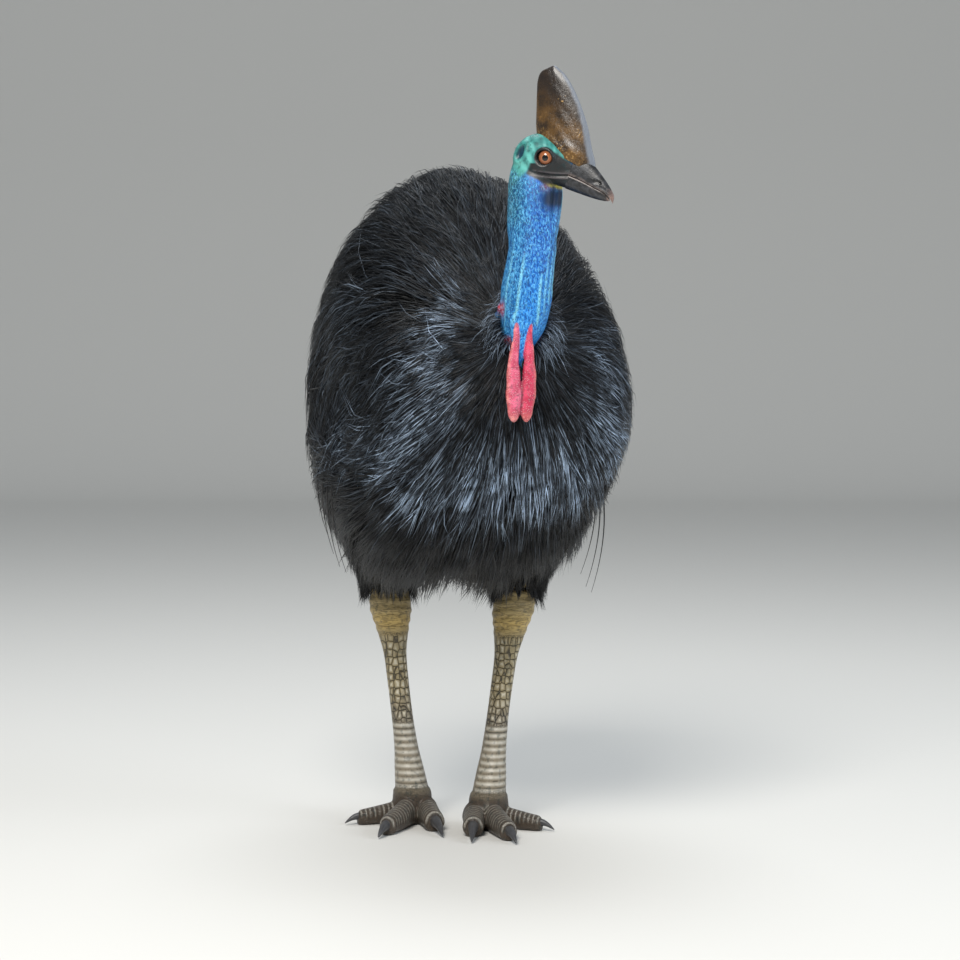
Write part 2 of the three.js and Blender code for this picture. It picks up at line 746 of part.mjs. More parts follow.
// Neck and wattles
const rims = sideSigns.flatMap((side) => [lidSolid(side, CLEAR), earRim(side, 2.5 * CLEAR), earHole(side)]);
const skullSpace = fused([skullSolid(CLEAR), eyeSpaces, ...rims]).transform(headGroup.matrix.elements);
add(group, "neck_upper", neckSolid(0, NECK_PART, 8).subtract(skullSpace), MATERIAL.blueSkin);
const lowerNeck = fused([neckSolid(NECK_PART + 0.001, 0.999, 7), bibSolid(), ...caruncles()]);
const torsoFace = bodyCore(0, 0.2, 1.5 * CLEAR);
const wattleSpaces = fused(sideSigns.map((side) => wattleSolid(side, CLEAR)));
add(group, "neck_lower", lowerNeck.subtract(torsoFace).subtract(wattleSpaces), MATERIAL.redSkin);
for (const [name, side] of Object.entries(sides))
  add(group, `wattle_${name}`, wattleSolid(side), MATERIAL.redSkin);

// Body
const neckSpace = fused([neckSolid(0.6, 0.995, 7, 1.5 * CLEAR), bibSolid(1.5 * CLEAR)]);
const wingSpaces = fused(sideSigns.map((side) => wingSolid(side, 2 * CLEAR)));
const torso = torsoSolid(0).subtract(neckSpace).subtract(wattleSpaces).subtract(wingSpaces);
add(group, "torso", torso, MATERIAL.plumage);
const torsoSpace = torsoSolid(2.5 * CLEAR);
add(group, "tail", tailSolid(0).subtract(torsoSpace), MATERIAL.plumage);
const bodySpace = torsoSpace.add(tailSolid(2.5 * CLEAR));
for (const [name, side] of Object.entries(sides))
  add(group, `wing_${name}`, wingSolid(side), MATERIAL.quill);

// Legs
for (const [name, side] of Object.entries(sides)) {
  const leg = FEET[name];
  add(group, `thigh_${name}`, thighSolid(leg, 11 + side).subtract(fused([bodySpace, shankSolid(leg, 2 * CLEAR)])), MATERIAL.plumage);
  add(group, `shank_${name}`, shankSolid(leg), MATERIAL.scale);
  const foot = new THREE.Group();
  foot.position.set(leg.x, leg.y, 0);
  group.add(foot);
  add(foot, `foot_${name}`, padSolid(), MATERIAL.toe);
  const across = radians(HEADINGS[name].middle);
  const placed = (toeName, solid) => {
    const inset = -side * TOES[toeName].inset;
    const offset = [inset * Math.cos(across), inset * Math.sin(across), 0];
    return solid.rotate([0, 0, HEADINGS[name][toeName]]).translate(offset);
  };
  const taken = [padSolid(CLEAR)];
  for (const [toeName, toe] of Object.entries(TOES)) {
    const claw = placed(toeName, clawSolid(toe));
    const clawSpace = placed(toeName, clawSolid(toe, CLEAR));
    const flesh = placed(toeName, toeSolid(toe)).subtract(fused([...taken, clawSpace]));
    add(foot, `toe_${toeName}_${name}`, flesh, MATERIAL.toe);
    add(foot, `claw_${toeName}_${name}`, claw, MATERIAL.claw);
    taken.push(placed(toeName, toeSolid(toe, CLEAR)));
  }
}

// The origin is on the floor, under the middle of the bird's outline.
group.updateMatrixWorld(true);
const box = new THREE.Box3().setFromObject(group, true);
group.position.set(-(box.min.x + box.max.x) / 2, -(box.min.y + box.max.y) / 2, -box.min.z);

export default group;
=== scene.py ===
# An adult cassowary as a life-size museum model, standing still with its head turned to its left.
# Shapes are worked in millimetres in the bird's own frame: it faces -Y, its left side is towards +X, and
# the floor between its feet is the origin. Each finished piece is then scaled to metres and set in place.

from math import atan2, cos, pi, radians, sin

import bmesh
import bpy
import numpy as np
from mathutils import Matrix, Vector


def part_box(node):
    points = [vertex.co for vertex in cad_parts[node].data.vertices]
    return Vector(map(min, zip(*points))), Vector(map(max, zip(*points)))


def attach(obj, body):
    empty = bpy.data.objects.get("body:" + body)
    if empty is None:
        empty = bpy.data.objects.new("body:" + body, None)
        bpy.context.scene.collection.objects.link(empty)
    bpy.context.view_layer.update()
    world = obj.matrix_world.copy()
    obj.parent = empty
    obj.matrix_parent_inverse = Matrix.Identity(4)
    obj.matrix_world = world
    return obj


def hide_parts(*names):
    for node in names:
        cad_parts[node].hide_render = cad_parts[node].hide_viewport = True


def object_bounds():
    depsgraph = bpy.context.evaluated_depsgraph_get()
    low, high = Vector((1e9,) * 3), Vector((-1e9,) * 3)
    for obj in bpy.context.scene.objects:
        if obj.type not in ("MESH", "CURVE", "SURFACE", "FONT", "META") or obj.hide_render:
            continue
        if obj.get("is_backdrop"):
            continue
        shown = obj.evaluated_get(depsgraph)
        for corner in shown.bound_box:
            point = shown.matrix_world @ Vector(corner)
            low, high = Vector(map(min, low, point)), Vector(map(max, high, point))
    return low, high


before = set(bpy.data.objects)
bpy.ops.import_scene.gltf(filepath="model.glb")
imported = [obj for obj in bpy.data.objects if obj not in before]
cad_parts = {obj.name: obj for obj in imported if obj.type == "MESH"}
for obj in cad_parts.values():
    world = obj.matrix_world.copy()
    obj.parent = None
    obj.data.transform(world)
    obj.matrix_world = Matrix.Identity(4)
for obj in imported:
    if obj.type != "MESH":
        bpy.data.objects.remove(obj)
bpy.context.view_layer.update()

# The bird's place and the camera
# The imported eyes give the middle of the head, and the head's named place gives the bird's origin. The camera
# stands at the height of the bird's shoulders, nearly six metres in front of it and to its right.

HEAD = {"x": 45, "y": -386, "z": 1225, "turn": radians(47), "nod": radians(24)}
EYE_MIDDLES = {side: sum(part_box(f"eye_{side}"), Vector()) / 2 for side in ("left", "right")}
BROW = (EYE_MIDDLES["left"] + EYE_MIDDLES["right"]) / 2
ORIGIN = BROW - Vector((HEAD["x"], HEAD["y"], HEAD["z"])) / 1000
PLACE = Matrix.Translation(ORIGIN) @ Matrix.Scale(0.001, 4)

AHEAD = Vector((0.309, 0.951, 0))
RIGHT = Vector((0.951, -0.309, 0))
CAMERA = {"distance": 5.88, "aside": 0.040, "height": 1.11, "lens": 120.9, "tilt": radians(4.52)}

camera = bpy.data.objects.new("photo_camera", bpy.data.cameras.new("photo_camera"))
bpy.context.scene.collection.objects.link(camera)
camera.data.lens = CAMERA["lens"]
camera.data.sensor_width = 36
camera.location = Vector((ORIGIN.x, ORIGIN.y, 0)) - CAMERA["distance"] * AHEAD + CAMERA["aside"] * RIGHT
camera.location.z = CAMERA["height"]
camera.rotation_euler = (pi / 2 - CAMERA["tilt"], 0, atan2(-AHEAD.x, AHEAD.y))
bpy.context.scene.camera = camera

# Skin of the trunk
# The trunk under the plumage is one rounded barrel from the neck's root to the rump, with the two thighs
# hung from it. It is dark skin that only shows between the feathers.

# Each row: place along the trunk, top y and z, bottom y and z, half width, all at the plumage's outside.
TRUNK = [
    [0.0, -306, 957, -362, 880, 50],
    [0.07, -262, 1008, -380, 820, 118],
    [0.16, -205, 1070, -376, 736, 184],
    [0.28, -138, 1136, -328, 636, 236],
    [0.42, -68, 1188, -212, 552, 266],
    [0.57, 10, 1214, -42, 502, 274],
    [0.71, 108, 1190, 96, 500, 256],
    [0.83, 212, 1116, 196, 530, 214],
    [0.92, 300, 1000, 272, 576, 156],
    [1.0, 372, 850, 334, 616, 96],
]
# Where the trunk is widest, as a share of its height from below, and how squarely its underside bulges.
WIDEST = 0.42
BELLY_POWER = 0.72
# Depth of the skin under the plumage's outside.
PLUMAGE_DEPTH = [[0, 20], [0.06, 28], [0.14, 38], [0.3, 48], [0.8, 52], [1, 54]]


def smooth(low, high, value):
    u = np.clip((value - low) / (high - low), 0, 1)
    return u * u * (3 - 2 * u)


def read(table, where):
    """A smooth reading of a table's rows of [where, value, ...] at each of the places asked for."""
    table = np.asarray(table, float)
    where = np.asarray(where, float)
    at, rows = table[:, 0], table[:, 1:]
    count = len(at)
    before = np.maximum(np.arange(count) - 1, 0)
    after = np.minimum(np.arange(count) + 1, count - 1)
    slopes = (rows[after] - rows[before]) / (at[after] - at[before])[:, None]
    n = np.clip(np.searchsorted(at, where) - 1, 0, count - 2)
    span = (at[n + 1] - at[n])[..., None]
    u = (where - at[n])[..., None] / span
    start, end = slopes[n] * span, slopes[n + 1] * span
    rise = rows[n + 1] - rows[n]
    inside = rows[n] + u * (start + u * (3 * rise - 2 * start - end + u * (start + end - 2 * rise)))
    inside = np.where(u < 0, rows[n] + start * u, inside)
    inside = np.where(u > 1, rows[n + 1] + end * (u - 1), inside)
    return np.moveaxis(inside, -1, 0)


def trunk_point(t, turn, depth):
    """A point at a depth under the plumage's outside. Turn 0 is the left side, a quarter turn the back."""
    top_y, top_z, low_y, low_z, half = read(TRUNK, t)
    tall = np.hypot(top_z - low_z, top_y - low_y)
    c, s = np.cos(turn), np.sin(turn)
    power = np.where(s > 0, 1, BELLY_POWER)
    reach = np.where(s > 0, tall * (1 - WIDEST), tall * WIDEST) - depth
    slim = 1 - 0.1 * smooth(0.0, 0.7, -s) * (c > 0) * smooth(0.2, 0.45, t) * (1 - smooth(0.75, 0.95, t))
    across = (half * slim - depth) * np.sign(c) * np.abs(c) ** power
    up = reach * np.sign(s) * np.abs(s) ** power
    y = low_y + (top_y - low_y) * WIDEST + up * (top_y - low_y) / tall
    z = low_z + (top_z - low_z) * WIDEST + up * (top_z - low_z) / tall
    return np.stack([across, y, z], -1)


def loft(bm, sides, rings, place, capped=True):
    """Shapes a ball into a tube: place(turn, along, reach), with reach 0 at the middle of a capped end."""
    made = bmesh.ops.create_uvsphere(bm, u_segments=sides, v_segments=rings + 1, radius=1)["verts"]
    co = np.array([v.co for v in made])
    ring = np.round(np.arccos(np.clip(-co[:, 2], -1, 1)) / pi * (rings + 1))
    turn = np.arctan2(co[:, 1], co[:, 0])
    pole = (ring == 0) | (ring == rings + 1)
    along = np.clip((ring - 1) / (rings - 1), 0, 1) if capped else ring / (rings + 1)
    reach = np.where(pole, 0.0, 1.0) if capped else np.ones(len(ring))
    for v, p in zip(made, place(turn, along, reach)):
        v.co = p


def piece_of(bm, name):
    """A closed bmesh as an object that still has its shape in the bird's own frame."""
    bmesh.ops.remove_doubles(bm, verts=bm.verts, dist=1e-3)
    bmesh.ops.recalc_face_normals(bm, faces=bm.faces)
    mesh = bpy.data.meshes.new(name)
    bm.to_mesh(mesh)
    bm.free()
    piece = bpy.data.objects.new(name, mesh)
    bpy.context.scene.collection.objects.link(piece)
    return piece


def fused(bm, name, voxel, smoothing):
    """Grows the bmesh's closed shapes into one surface and evens it out."""
    rough = piece_of(bm, name)
    remesh = rough.modifiers.new("grown_together", "REMESH")
    remesh.mode = "VOXEL"
    remesh.voxel_size = voxel
    evened = bmesh.new()
    evened.from_object(rough, bpy.context.evaluated_depsgraph_get())
    bpy.data.objects.remove(rough)
    for _ in range(smoothing):
        bmesh.ops.smooth_vert(
            evened, verts=evened.verts, factor=0.5, use_axis_x=True, use_axis_y=True, use_axis_z=True
        )
    return evened


# Where each foot, ankle and knee stands, and how far the foot turns.
LEGS = {
    "left": {"foot": (56, -10), "turn": 0, "ankle": (126, 42, 402), "knee": (112, -10, 600)},
    "right": {"foot": (-64, 84), "turn": radians(-37), "ankle": (-90, 150, 402), "knee": (-106, 60, 600)},
}
# How far the shank's skin runs up past the ankle.
SHANK_TOP = 34
# Each row: place down the thigh, half width and half depth at the plumage's outside.
THIGH = [[0, 104, 118], [0.3, 98, 112], [0.6, 82, 92], [0.85, 62, 66], [1, 50, 52]]
THIGH_DEPTH = [[0, 30], [0.7, 26], [1, 18]]


def thigh_point(leg, t, turn, depth):
    knee = np.array(leg["knee"], float)
    end = np.array(leg["ankle"], float) + (0, -4, SHANK_TOP)
    half, deep = read(THIGH, t)
    middle = knee + (end - knee) * np.asarray(t)[..., None]
    out = np.stack([np.cos(turn) * (half - depth), np.sin(turn) * (deep - depth), np.zeros_like(half)], -1)
    return middle + out


def trunk_skin(turn, along, reach):
    t = 0.97 * along
    depth = read(PLUMAGE_DEPTH, t)[0]
    skin = trunk_point(t, turn, depth)
    middle = (trunk_point(t, turn * 0, depth) + trunk_point(t, turn * 0 + pi, depth)) / 2
    return middle + (skin - middle) * reach[:, None]


def thigh_skin(leg):
    def place(turn, along, reach):
        skin = thigh_point(leg, along, turn, read(THIGH_DEPTH, along)[0])
        middle = (thigh_point(leg, along, turn * 0, 0) + thigh_point(leg, along, turn * 0 + pi, 0)) / 2
        return middle + (skin - middle) * reach[:, None]

    return place


trunk = bmesh.new()
loft(trunk, 36, 24, trunk_skin)
for leg in LEGS.values():
    loft(trunk, 20, 8, thigh_skin(leg))
trunk = fused(trunk, "trunk", voxel=14, smoothing=3)

# Skin of the neck and wattles
# The bare neck is loose blue skin in long folds. It ends below in a point, from whose edges two flat wattles
# hang side by side, and small red caruncles line the neck's root.

# Each row: place down the neck, centre x, y, z, half width, half depth.
NECK = [
    [0.0, 25, -354, 1226, 30, 32],
    [0.12, 27, -360, 1190, 43, 40],
    [0.22, 26, -366, 1155, 46, 42],
    [0.45, 16, -374, 1075, 42, 39],
    [0.7, 6, -372, 1000, 45, 41],
    [0.86, 4, -360, 950, 40, 42],
    [1.0, 2, -338, 915, 32, 34],
]
# Long raised folds: their turn round the neck, where they start and end down it, height and spread.
NECK_FOLDS = [
    [-158, 0.4, 1.0, 2.4, 4.5],
    [-147, 0.45, 0.95, 1.6, 4],
    [-127, 0.5, 0.9, 3.0, 4.5],
    [-78, 0.62, 0.92, 3.0, 4.5],
    [-63, 0.4, 0.86, 2.2, 4.5],
    [-48, 0.14, 0.8, 2.4, 5],
    [-30, 0.05, 0.75, 3.2, 7],
    [-22, 0.0, 0.5, 6.0, 6],
    [20, 0.3, 1.0, 2.0, 8],
    [75, 0.3, 1.0, 2.0, 8],
    [130, 0.3, 1.0, 2.0, 8],
]
# Long hollows between them, in the same order of values.
NECK_HOLLOWS = [
    [-58, 0.0, 0.32, 7.5, 12],
    [-102, 0.6, 0.95, 3.0, 10],
    [-16, 0.12, 0.46, 9.0, 26],
    [-16, 0.46, 0.72, 5.0, 26],
    [168, 0.0, 0.4, -5.0, 30],
]


def bell(off, spread):
    """1 where the offset is nothing, fading evenly on both sides of it."""
    return np.exp(-((off / spread) ** 2))


def apart(turn, at):
    """How many degrees a turn lies from one given in degrees, the short way round."""
    return np.degrees(np.angle(np.exp(1j * (turn - radians(at)))))


def fold_height(rows, t, turn):
    height = np.zeros_like(t)
    for at, start, end, high, spread in rows:
        lasts = smooth(start - 0.1, start + 0.06, t) * (1 - smooth(end - 0.06, end + 0.06, t))
        height = height + high * lasts * bell(apart(turn, at), spread)
    return height


def neck_skin(turn, along, reach):
    x, y, z, half, deep = read(NECK, along)
    _, ahead, over, _, _ = read(NECK, along + 0.01)
    pitch = np.arctan2(ahead - y, z - over)
    relief = fold_height(NECK_FOLDS, along, turn) - fold_height(NECK_HOLLOWS, along, turn)
    across = (half + relief) * np.cos(turn) * reach
    out = (deep + relief) * np.sin(turn) * reach
    return np.stack([x + across, y + out * np.cos(pitch), z + out * np.sin(pitch)], -1)


# The point of loose skin in which the bare neck ends below.
BIB = {"x": -8, "top": 962, "tip": 868, "y": -392, "half": 30}


def bib_skin(turn, along, reach):
    wide = BIB["half"] * (1 - along) ** 0.8 * reach
    deep = 16 * (1 - along) ** 0.6 * reach
    x = BIB["x"] - 8 * along + np.cos(turn) * wide
    y = BIB["y"] - 6 * along + np.sin(turn) * deep
    return np.stack([x, y, BIB["top"] + (BIB["tip"] - BIB["top"]) * along], -1)


# The wattles' ends and middle, their half width and half depth, and half the way between them.
WATTLE = {"top": 950, "bottom": 774, "x": -17, "y": -410, "half": 13.6, "deep": 7.5, "apart": 14.4}
# How far each wattle leans to the bird's left at its root, and to its right at its tip.
WATTLE_LEAN = {1: (4, 6.5), -1: (10, 0)}
# Each row: place down the wattle, and the shares of its half width and depth.
WATTLE_SHAPE = [
    [0.0, 0.16, 0.2],
    [0.2, 0.42, 0.5],
    [0.42, 0.74, 0.85],
    [0.7, 1.0, 1.0],
    [0.9, 0.8, 0.85],
    [0.975, 0.42, 0.5],
    [1.0, 0.0, 0.0],
]


def wattle_middle(side, s):
    """The middle of the left (1) or right (-1) wattle, a share of the way down it."""
    at_root, at_tip = WATTLE_LEAN[side]
    lean = at_root * np.maximum(0, 1 - 2.4 * s) - at_tip * smooth(0.5, 1.0, s)
    x = WATTLE["x"] + side * WATTLE["apart"] + lean
    return x, WATTLE["y"] + 10 * (1 - s) ** 2 - 2, WATTLE["top"] + (WATTLE["bottom"] - WATTLE["top"]) * s


def wattle_skin(side):
    def place(turn, along, reach):
        wide, deep = np.maximum(read(WATTLE_SHAPE, along), 0)
        x, y, z = wattle_middle(side, along)
        cushion = (1 + 0.05 * np.sin(9 * along * pi + 2 * turn)) * reach
        x = x + np.cos(turn) * WATTLE["half"] * wide * cushion
        y = y + np.sin(turn) * WATTLE["deep"] * deep * cushion
        return np.stack([x, y, z], -1)

    return place


def ball(bm, centre, size, sides, rings, turned=None):
    """A closed ball or egg with the given half sizes."""
    matrix = Matrix.LocRotScale(Vector(centre), turned, size)
    bmesh.ops.create_uvsphere(bm, u_segments=sides, v_segments=rings, radius=1, matrix=matrix)


# Places down the neck of the small red caruncles on either side.
CARUNCLES = (0.77, 0.795, 0.82, 0.84)
head_and_neck = bmesh.new()
loft(head_and_neck, 96, 150, neck_skin)
loft(head_and_neck, 32, 30, bib_skin)
for side in (1, -1):
    loft(head_and_neck, 32, 60, wattle_skin(side))
    for n, t in enumerate(CARUNCLES):
        x, y, z, half, _ = read(NECK, t)
        size = 3.2 + 1.2 * ((n + (side > 0)) % 2)
        centre = (x + side * (half - 1 + n), y + 4 + 5 * n, z)
        ball(head_and_neck, centre, (size, size * 1.3, size * 1.5), 16, 10)

# Skin of the head
# The skull carries thin skin drawn close over it: a ring of lids round each eye, a brow, the ear's open cup,
# and the gape of the mouth running back from the bill under the eye.

# Each row: how far forward, middle height, height above, height below, half width.
SKULL = [
    [-66, -14, 0, 0, 0],
    [-62, -14, 17, 18, 15],
    [-50, -13, 33, 34, 26],
    [-28, -11, 44, 42, 33],
    [0, -10, 42, 37, 34],
    [20, -11, 37, 30, 27],
    [36, -11, 34, 27, 20],
    [50, -11, 30, 25, 15.5],
]
HEAD_TURN = Matrix.Rotation(HEAD["turn"], 3, "Z") @ Matrix.Rotation(HEAD["nod"], 3, "X")
HEAD_MIDDLE = np.array([HEAD["x"], HEAD["y"], HEAD["z"]], float)
# The eye's middle and radius and the lids' opening, then the ear's cup, and the mouth behind the bill.
EYE = {"side": 21.5, "radius": 14.5, "opening": 13.5}
EAR = {"forward": -46, "up": -11, "long": 8, "high": 15}
GAPE = {"front": (51, -12), "corner": (-10, -32.5), "bow": 2.0}


def from_head(side, forward, up):
    """Head measures, with the middle between the eyes at the origin, as points in the bird's frame."""
    return np.stack([side, -forward, up], -1) @ np.array(HEAD_TURN).T + HEAD_MIDDLE


def to_head(points):
    side, back, up = ((points - HEAD_MIDDLE) @ np.array(HEAD_TURN)).T
    return side, -back, up


def gape_distance(forward, up):
    """How far a point of the head's side lies from the line of the mouth behind the bill."""
    start = np.array(GAPE["front"])
    run = np.array(GAPE["corner"]) - start
    along = ((forward - start[0]) * run[0] + (up - start[1]) * run[1]) / (run @ run)
    along = np.clip(along, 0, 1)
    line = start[1] + run[1] * along - GAPE["bow"] * np.sin(pi * along)
    return np.hypot(forward - (start[0] + run[0] * along), up - line)


def oval(hollow, forward, up):
    """1 on the rim of an ear or a nostril, less inside it and more outside."""
    return np.hypot((forward - hollow["forward"]) / hollow["long"], (up - hollow["up"]) / hollow["high"])


def head_skin(turn, along, reach):
    bend = np.cos(along * pi)
    forward = np.where(bend > 0, SKULL[0][0] * bend, -SKULL[-1][0] * bend)
    middle, above, below, half = read(SKULL, forward)
    out = np.sin(turn)
    pole = (along <= 0) | (along >= 1)
    up = middle + np.where(out > 0, above, below) * out * ~pole
    side = half * np.cos(turn) * ~pole
    depth = np.abs(side)
    lateral = smooth(8, 16, depth)
    brow = 2.6 * bell(up - 19 + 0.12 * forward, 4.5) * smooth(-26, -8, forward)
    cheek = 1.6 * bell(up + 19, 4) * bell(forward, 20)
    gape = gape_distance(forward, up)
    lips = 1.5 * bell(gape - 4.5, 2) - 3.6 * bell(gape, 1.9)
    ear = oval(EAR, forward, up)
    cup = 2.2 * bell(ear - 1.25, 0.25) - 6 * (1 - smooth(0.5, 1.1, ear))
    depth = depth + lateral * (brow + cheek + lips + cup)
    socket = 1 - smooth(EYE["opening"], EYE["opening"] + 1.5, np.hypot(forward, up))
    depth = np.where(depth > 15, depth + (np.minimum(depth, 24) - depth) * socket, depth)
    return from_head(np.sign(side) * depth, forward, up)


loft(head_and_neck, 120, 110, head_skin, capped=False)

# How far round the eye and out to the side the lids run, and how thick they are at the brow and under it.
LIDS = {"across": 14.4, "side": 29.6, "brow": 3.0, "under": 2.3}


def lid_skin(side, turn, tube):
    """A ring of lid round one eye, thickest along the brow, drawn to a corner in front and behind."""
    thick = LIDS["under"] + (LIDS["brow"] - LIDS["under"]) * smooth(-0.2, 0.8, np.sin(turn))
    corner = 1.6 * np.abs(np.cos(turn)) ** 6
    across = LIDS["across"] + corner + np.cos(tube) * thick
    forward, up = across * np.cos(turn), across * np.sin(turn) * 0.96
    return from_head(side * (LIDS["side"] - 0.1 * forward + np.sin(tube) * thick), forward, up)


for side in (1, -1):
    ring = bmesh.ops.create_grid(head_and_neck, x_segments=48, y_segments=12, size=1)["verts"]
    co = np.array([v.co for v in ring])
    for v, p in zip(ring, lid_skin(side, co[:, 0] * pi, (co[:, 1] + 1) * pi)):
        v.co = p
head_and_neck = fused(head_and_neck, "head_and_neck", voxel=1.8, smoothing=2)

# Skin of the legs and feet
# Bare shanks with a thick scaled ankle, broad scutes down the lower front, a round foot and three strong
# toes. The scutes are stepped like tiles, and the toes rest on flat pads.

# The height of the round foot, then the shank's scutes: how many, how far up they go, and how high they step.
FOOT_TOP = 66
SHANK_SCUTES = 10
SCUTES_TOP = 0.33
SCUTE_STEP = 2.4
# Each row: place up the shank, half width, half depth.
SHANK = [
    [0.0, 31, 31],
    [0.08, 28, 30],
    [0.2, 22.5, 26],
    [0.34, 20, 23],
    [0.55, 20, 22],
    [0.68, 22, 24],
    [0.8, 31, 31],
    [0.9, 39, 38],
    [1.0, 34, 34],
]
# Each row: place up the round foot, half width, half depth.
FOOT = [[0, 24, 24], [0.12, 31, 30], [0.5, 37, 34], [0.85, 36, 34], [1, 33, 32]]
# The way each toe points, in degrees, and its shape from root to end.
HEADINGS = {
    "left": {"inner": -20, "middle": -2, "outer": 48},
    "right": {"inner": -5, "middle": -37, "outer": -90},
}
TOES = {
    "middle": {"inset": 0, "length": 134, "half": (21, 17), "high": (56, 33), "scutes": 13},
    "inner": {"inset": 27, "length": 84, "half": (22, 18), "high": (52, 36), "scutes": 9},
    "outer": {"inset": -17, "length": 86, "half": (17, 13), "high": (44, 26), "scutes": 10},
}


def tile(place, count):
    """How high the tile at this place stands: rising along the tile and dropping at its free edge."""
    phase = (place * count) % 1
    return 0.35 + 0.65 * phase - smooth(0.8, 1, phase)


def over_scutes(along):
    """0 down the shank where the broad scutes are, 1 above them."""
    return smooth(SCUTES_TOP - 0.02, SCUTES_TOP + 0.02, along)


def shank_middle(leg, u):
    foot = np.array([*leg["foot"], FOOT_TOP], float)
    top = np.array(leg["ankle"], float) + (0, -4, SHANK_TOP)
    middle = foot + (top - foot) * np.asarray(u)[..., None]
    middle[..., 1] += 10 * np.sin(pi * np.asarray(u))
    return middle


def shank_skin(leg):
    def place(angle, along, reach):
        half, deep = read(SHANK, along)
        turn = leg["turn"] * 0.5
        front = smooth(0.1, 0.8, -np.sin(angle))
        step = SCUTE_STEP * front * (1 - over_scutes(along)) * tile(1 - along / SCUTES_TOP, SHANK_SCUTES)
        relief = step + 0.9 * smooth(0.72, 0.82, along) * np.sin(along * 130 + 2 * np.sin(angle))
        c, s = np.cos(angle) * (half + relief) * reach, np.sin(angle) * (deep + relief) * reach
        out = np.stack([c * cos(turn) - s * sin(turn), c * sin(turn) + s * cos(turn), 0 * c], -1)
        return shank_middle(leg, along) + out

    return place


def foot_place(leg, heading, inset, points):
    """A toe's own frame, growing towards -Y, turned to its heading and set on its foot."""
    on_left = leg is LEGS["left"]
    aside = -inset if on_left else inset
    middle = radians(HEADINGS["left" if on_left else "right"]["middle"])
    turned = points @ np.array(Matrix.Rotation(radians(heading), 3, "Z")).T
    turned[:, 0] += leg["foot"][0] + aside * cos(middle)
    turned[:, 1] += leg["foot"][1] + aside * sin(middle)
    return turned


def pad_skin(leg):
    def place(turn, along, reach):
        half, deep = read(FOOT, along)
        across, back = np.cos(turn) * half * reach, 2 + np.sin(turn) * deep * reach
        return foot_place(leg, np.degrees(leg["turn"]), 0, np.stack([across, back, along * FOOT_TOP], -1))

    return place


def toe_skin(leg, heading, toe):
    def place(angle, along, reach):
        u = along * 1.03
        half, half_end = toe["half"]
        half = (half + (half_end - half) * u) * (1 - 0.45 * smooth(0.94, 1.03, u))
        high, high_end = toe["high"]
        high = (high + (high_end - high) * u**0.8) * (1 - 0.2 * smooth(0.96, 1.03, u))
        s = np.sin(angle)
        step = SCUTE_STEP * smooth(0.1, 0.7, s) * tile(u, toe["scutes"])
        swell = np.cos(u * toe["length"] / 12)
        sole = 2.5 * (0.5 - 0.5 * swell) * smooth(0.05, 0.15, u)
        side_pads = 1.4 * swell * (1 - np.abs(s)) * smooth(-0.9, -0.2, -s)
        z = high * 0.46 + reach * (s * high * 0.54 + step)
        across = np.cos(angle) * (half + step * 0.4 + side_pads) * reach
        points = np.stack([across, -u * toe["length"], np.maximum(np.where(s < -0.3, sole, 0), z)], -1)
        return foot_place(leg, heading, toe["inset"], points)

    return place


legs = bmesh.new()
for name, leg in LEGS.items():
    loft(legs, 48, 190, shank_skin(leg))
    loft(legs, 40, 24, pad_skin(leg))
    ball(legs, (leg["foot"][0], leg["foot"][1] + 1, FOOT_TOP - 5), (35.5, 34, 9), 32, 12)
    for toe_name, toe in TOES.items():
        loft(legs, 36, 70, toe_skin(leg, HEADINGS[name][toe_name], toe))
legs = fused(legs, "legs", voxel=2.4, smoothing=1)

# The whole skin
# Trunk, neck, head and legs are one hide. Its colours are laid on in the skin itself: green crown, black
# face, blue neck, pink wattles, tan ankles, grey feet.

skin_parts = bmesh.new()
for part in (trunk, head_and_neck, legs):
    joined = bpy.data.meshes.new("part")
    part.to_mesh(joined)
    part.free()
    skin_parts.from_mesh(joined)
    bpy.data.meshes.remove(joined)
skin = piece_of(skin_parts, "skin")


def linear(red, green, blue):
    """A colour given as it looks, 0 to 255, as the light it reflects."""
    shade = np.array([red, green, blue]) / 255
    return np.where(shade > 0.04045, ((shade + 0.055) / 1.055) ** 2.4, shade / 12.92)


# The hide's colours as they look, 0 to 255.
HIDE = {
    "crown": (62, 142, 136),
    "behind_eye": (108, 192, 184),
    "nape": (8, 84, 84),
    "neck": (0, 98, 192),
    "neck_side": (10, 112, 170),
    "neck_low": (2, 128, 222),
    "ridge_highlight": (128, 206, 232),
    "painted_shade": (6, 34, 66),
    "face": (26, 28, 29),
    "lid_and_gape_shade": (15, 17, 19),
    "lip": (100, 94, 96),
    "chin_streak": (190, 180, 78),
    "chin_patch": (112, 70, 86),
    "caruncle": (200, 50, 32),
    "wattle": (210, 36, 74),
    "wattle_pale": (236, 124, 156),
    "wattle_rim": (244, 158, 142),
    "wattle_crease_shade": (70, 8, 22),
    "ankle": (196, 166, 96),
    "shank": (146, 132, 98),
    "shank_low": (120, 110, 92),
    "scute_gap": (30, 26, 20),
    "foot": (76, 64, 52),
    "scute_edge": (206, 202, 190),
    "trunk": (16, 16, 18),
}

co = np.empty(len(skin.data.vertices) * 3)
skin.data.vertices.foreach_get("co", co)
co = co.reshape(-1, 3)
side, forward, up = to_head(co)
colour = np.tile(linear(*HIDE["trunk"]), (len(co), 1))


def lay(name, mask):
    """Lays a colour over the hide, as thickly as the mask says."""
    colour[:] = colour + (linear(*HIDE[name]) - colour) * np.clip(mask, 0, 1)[:, None]


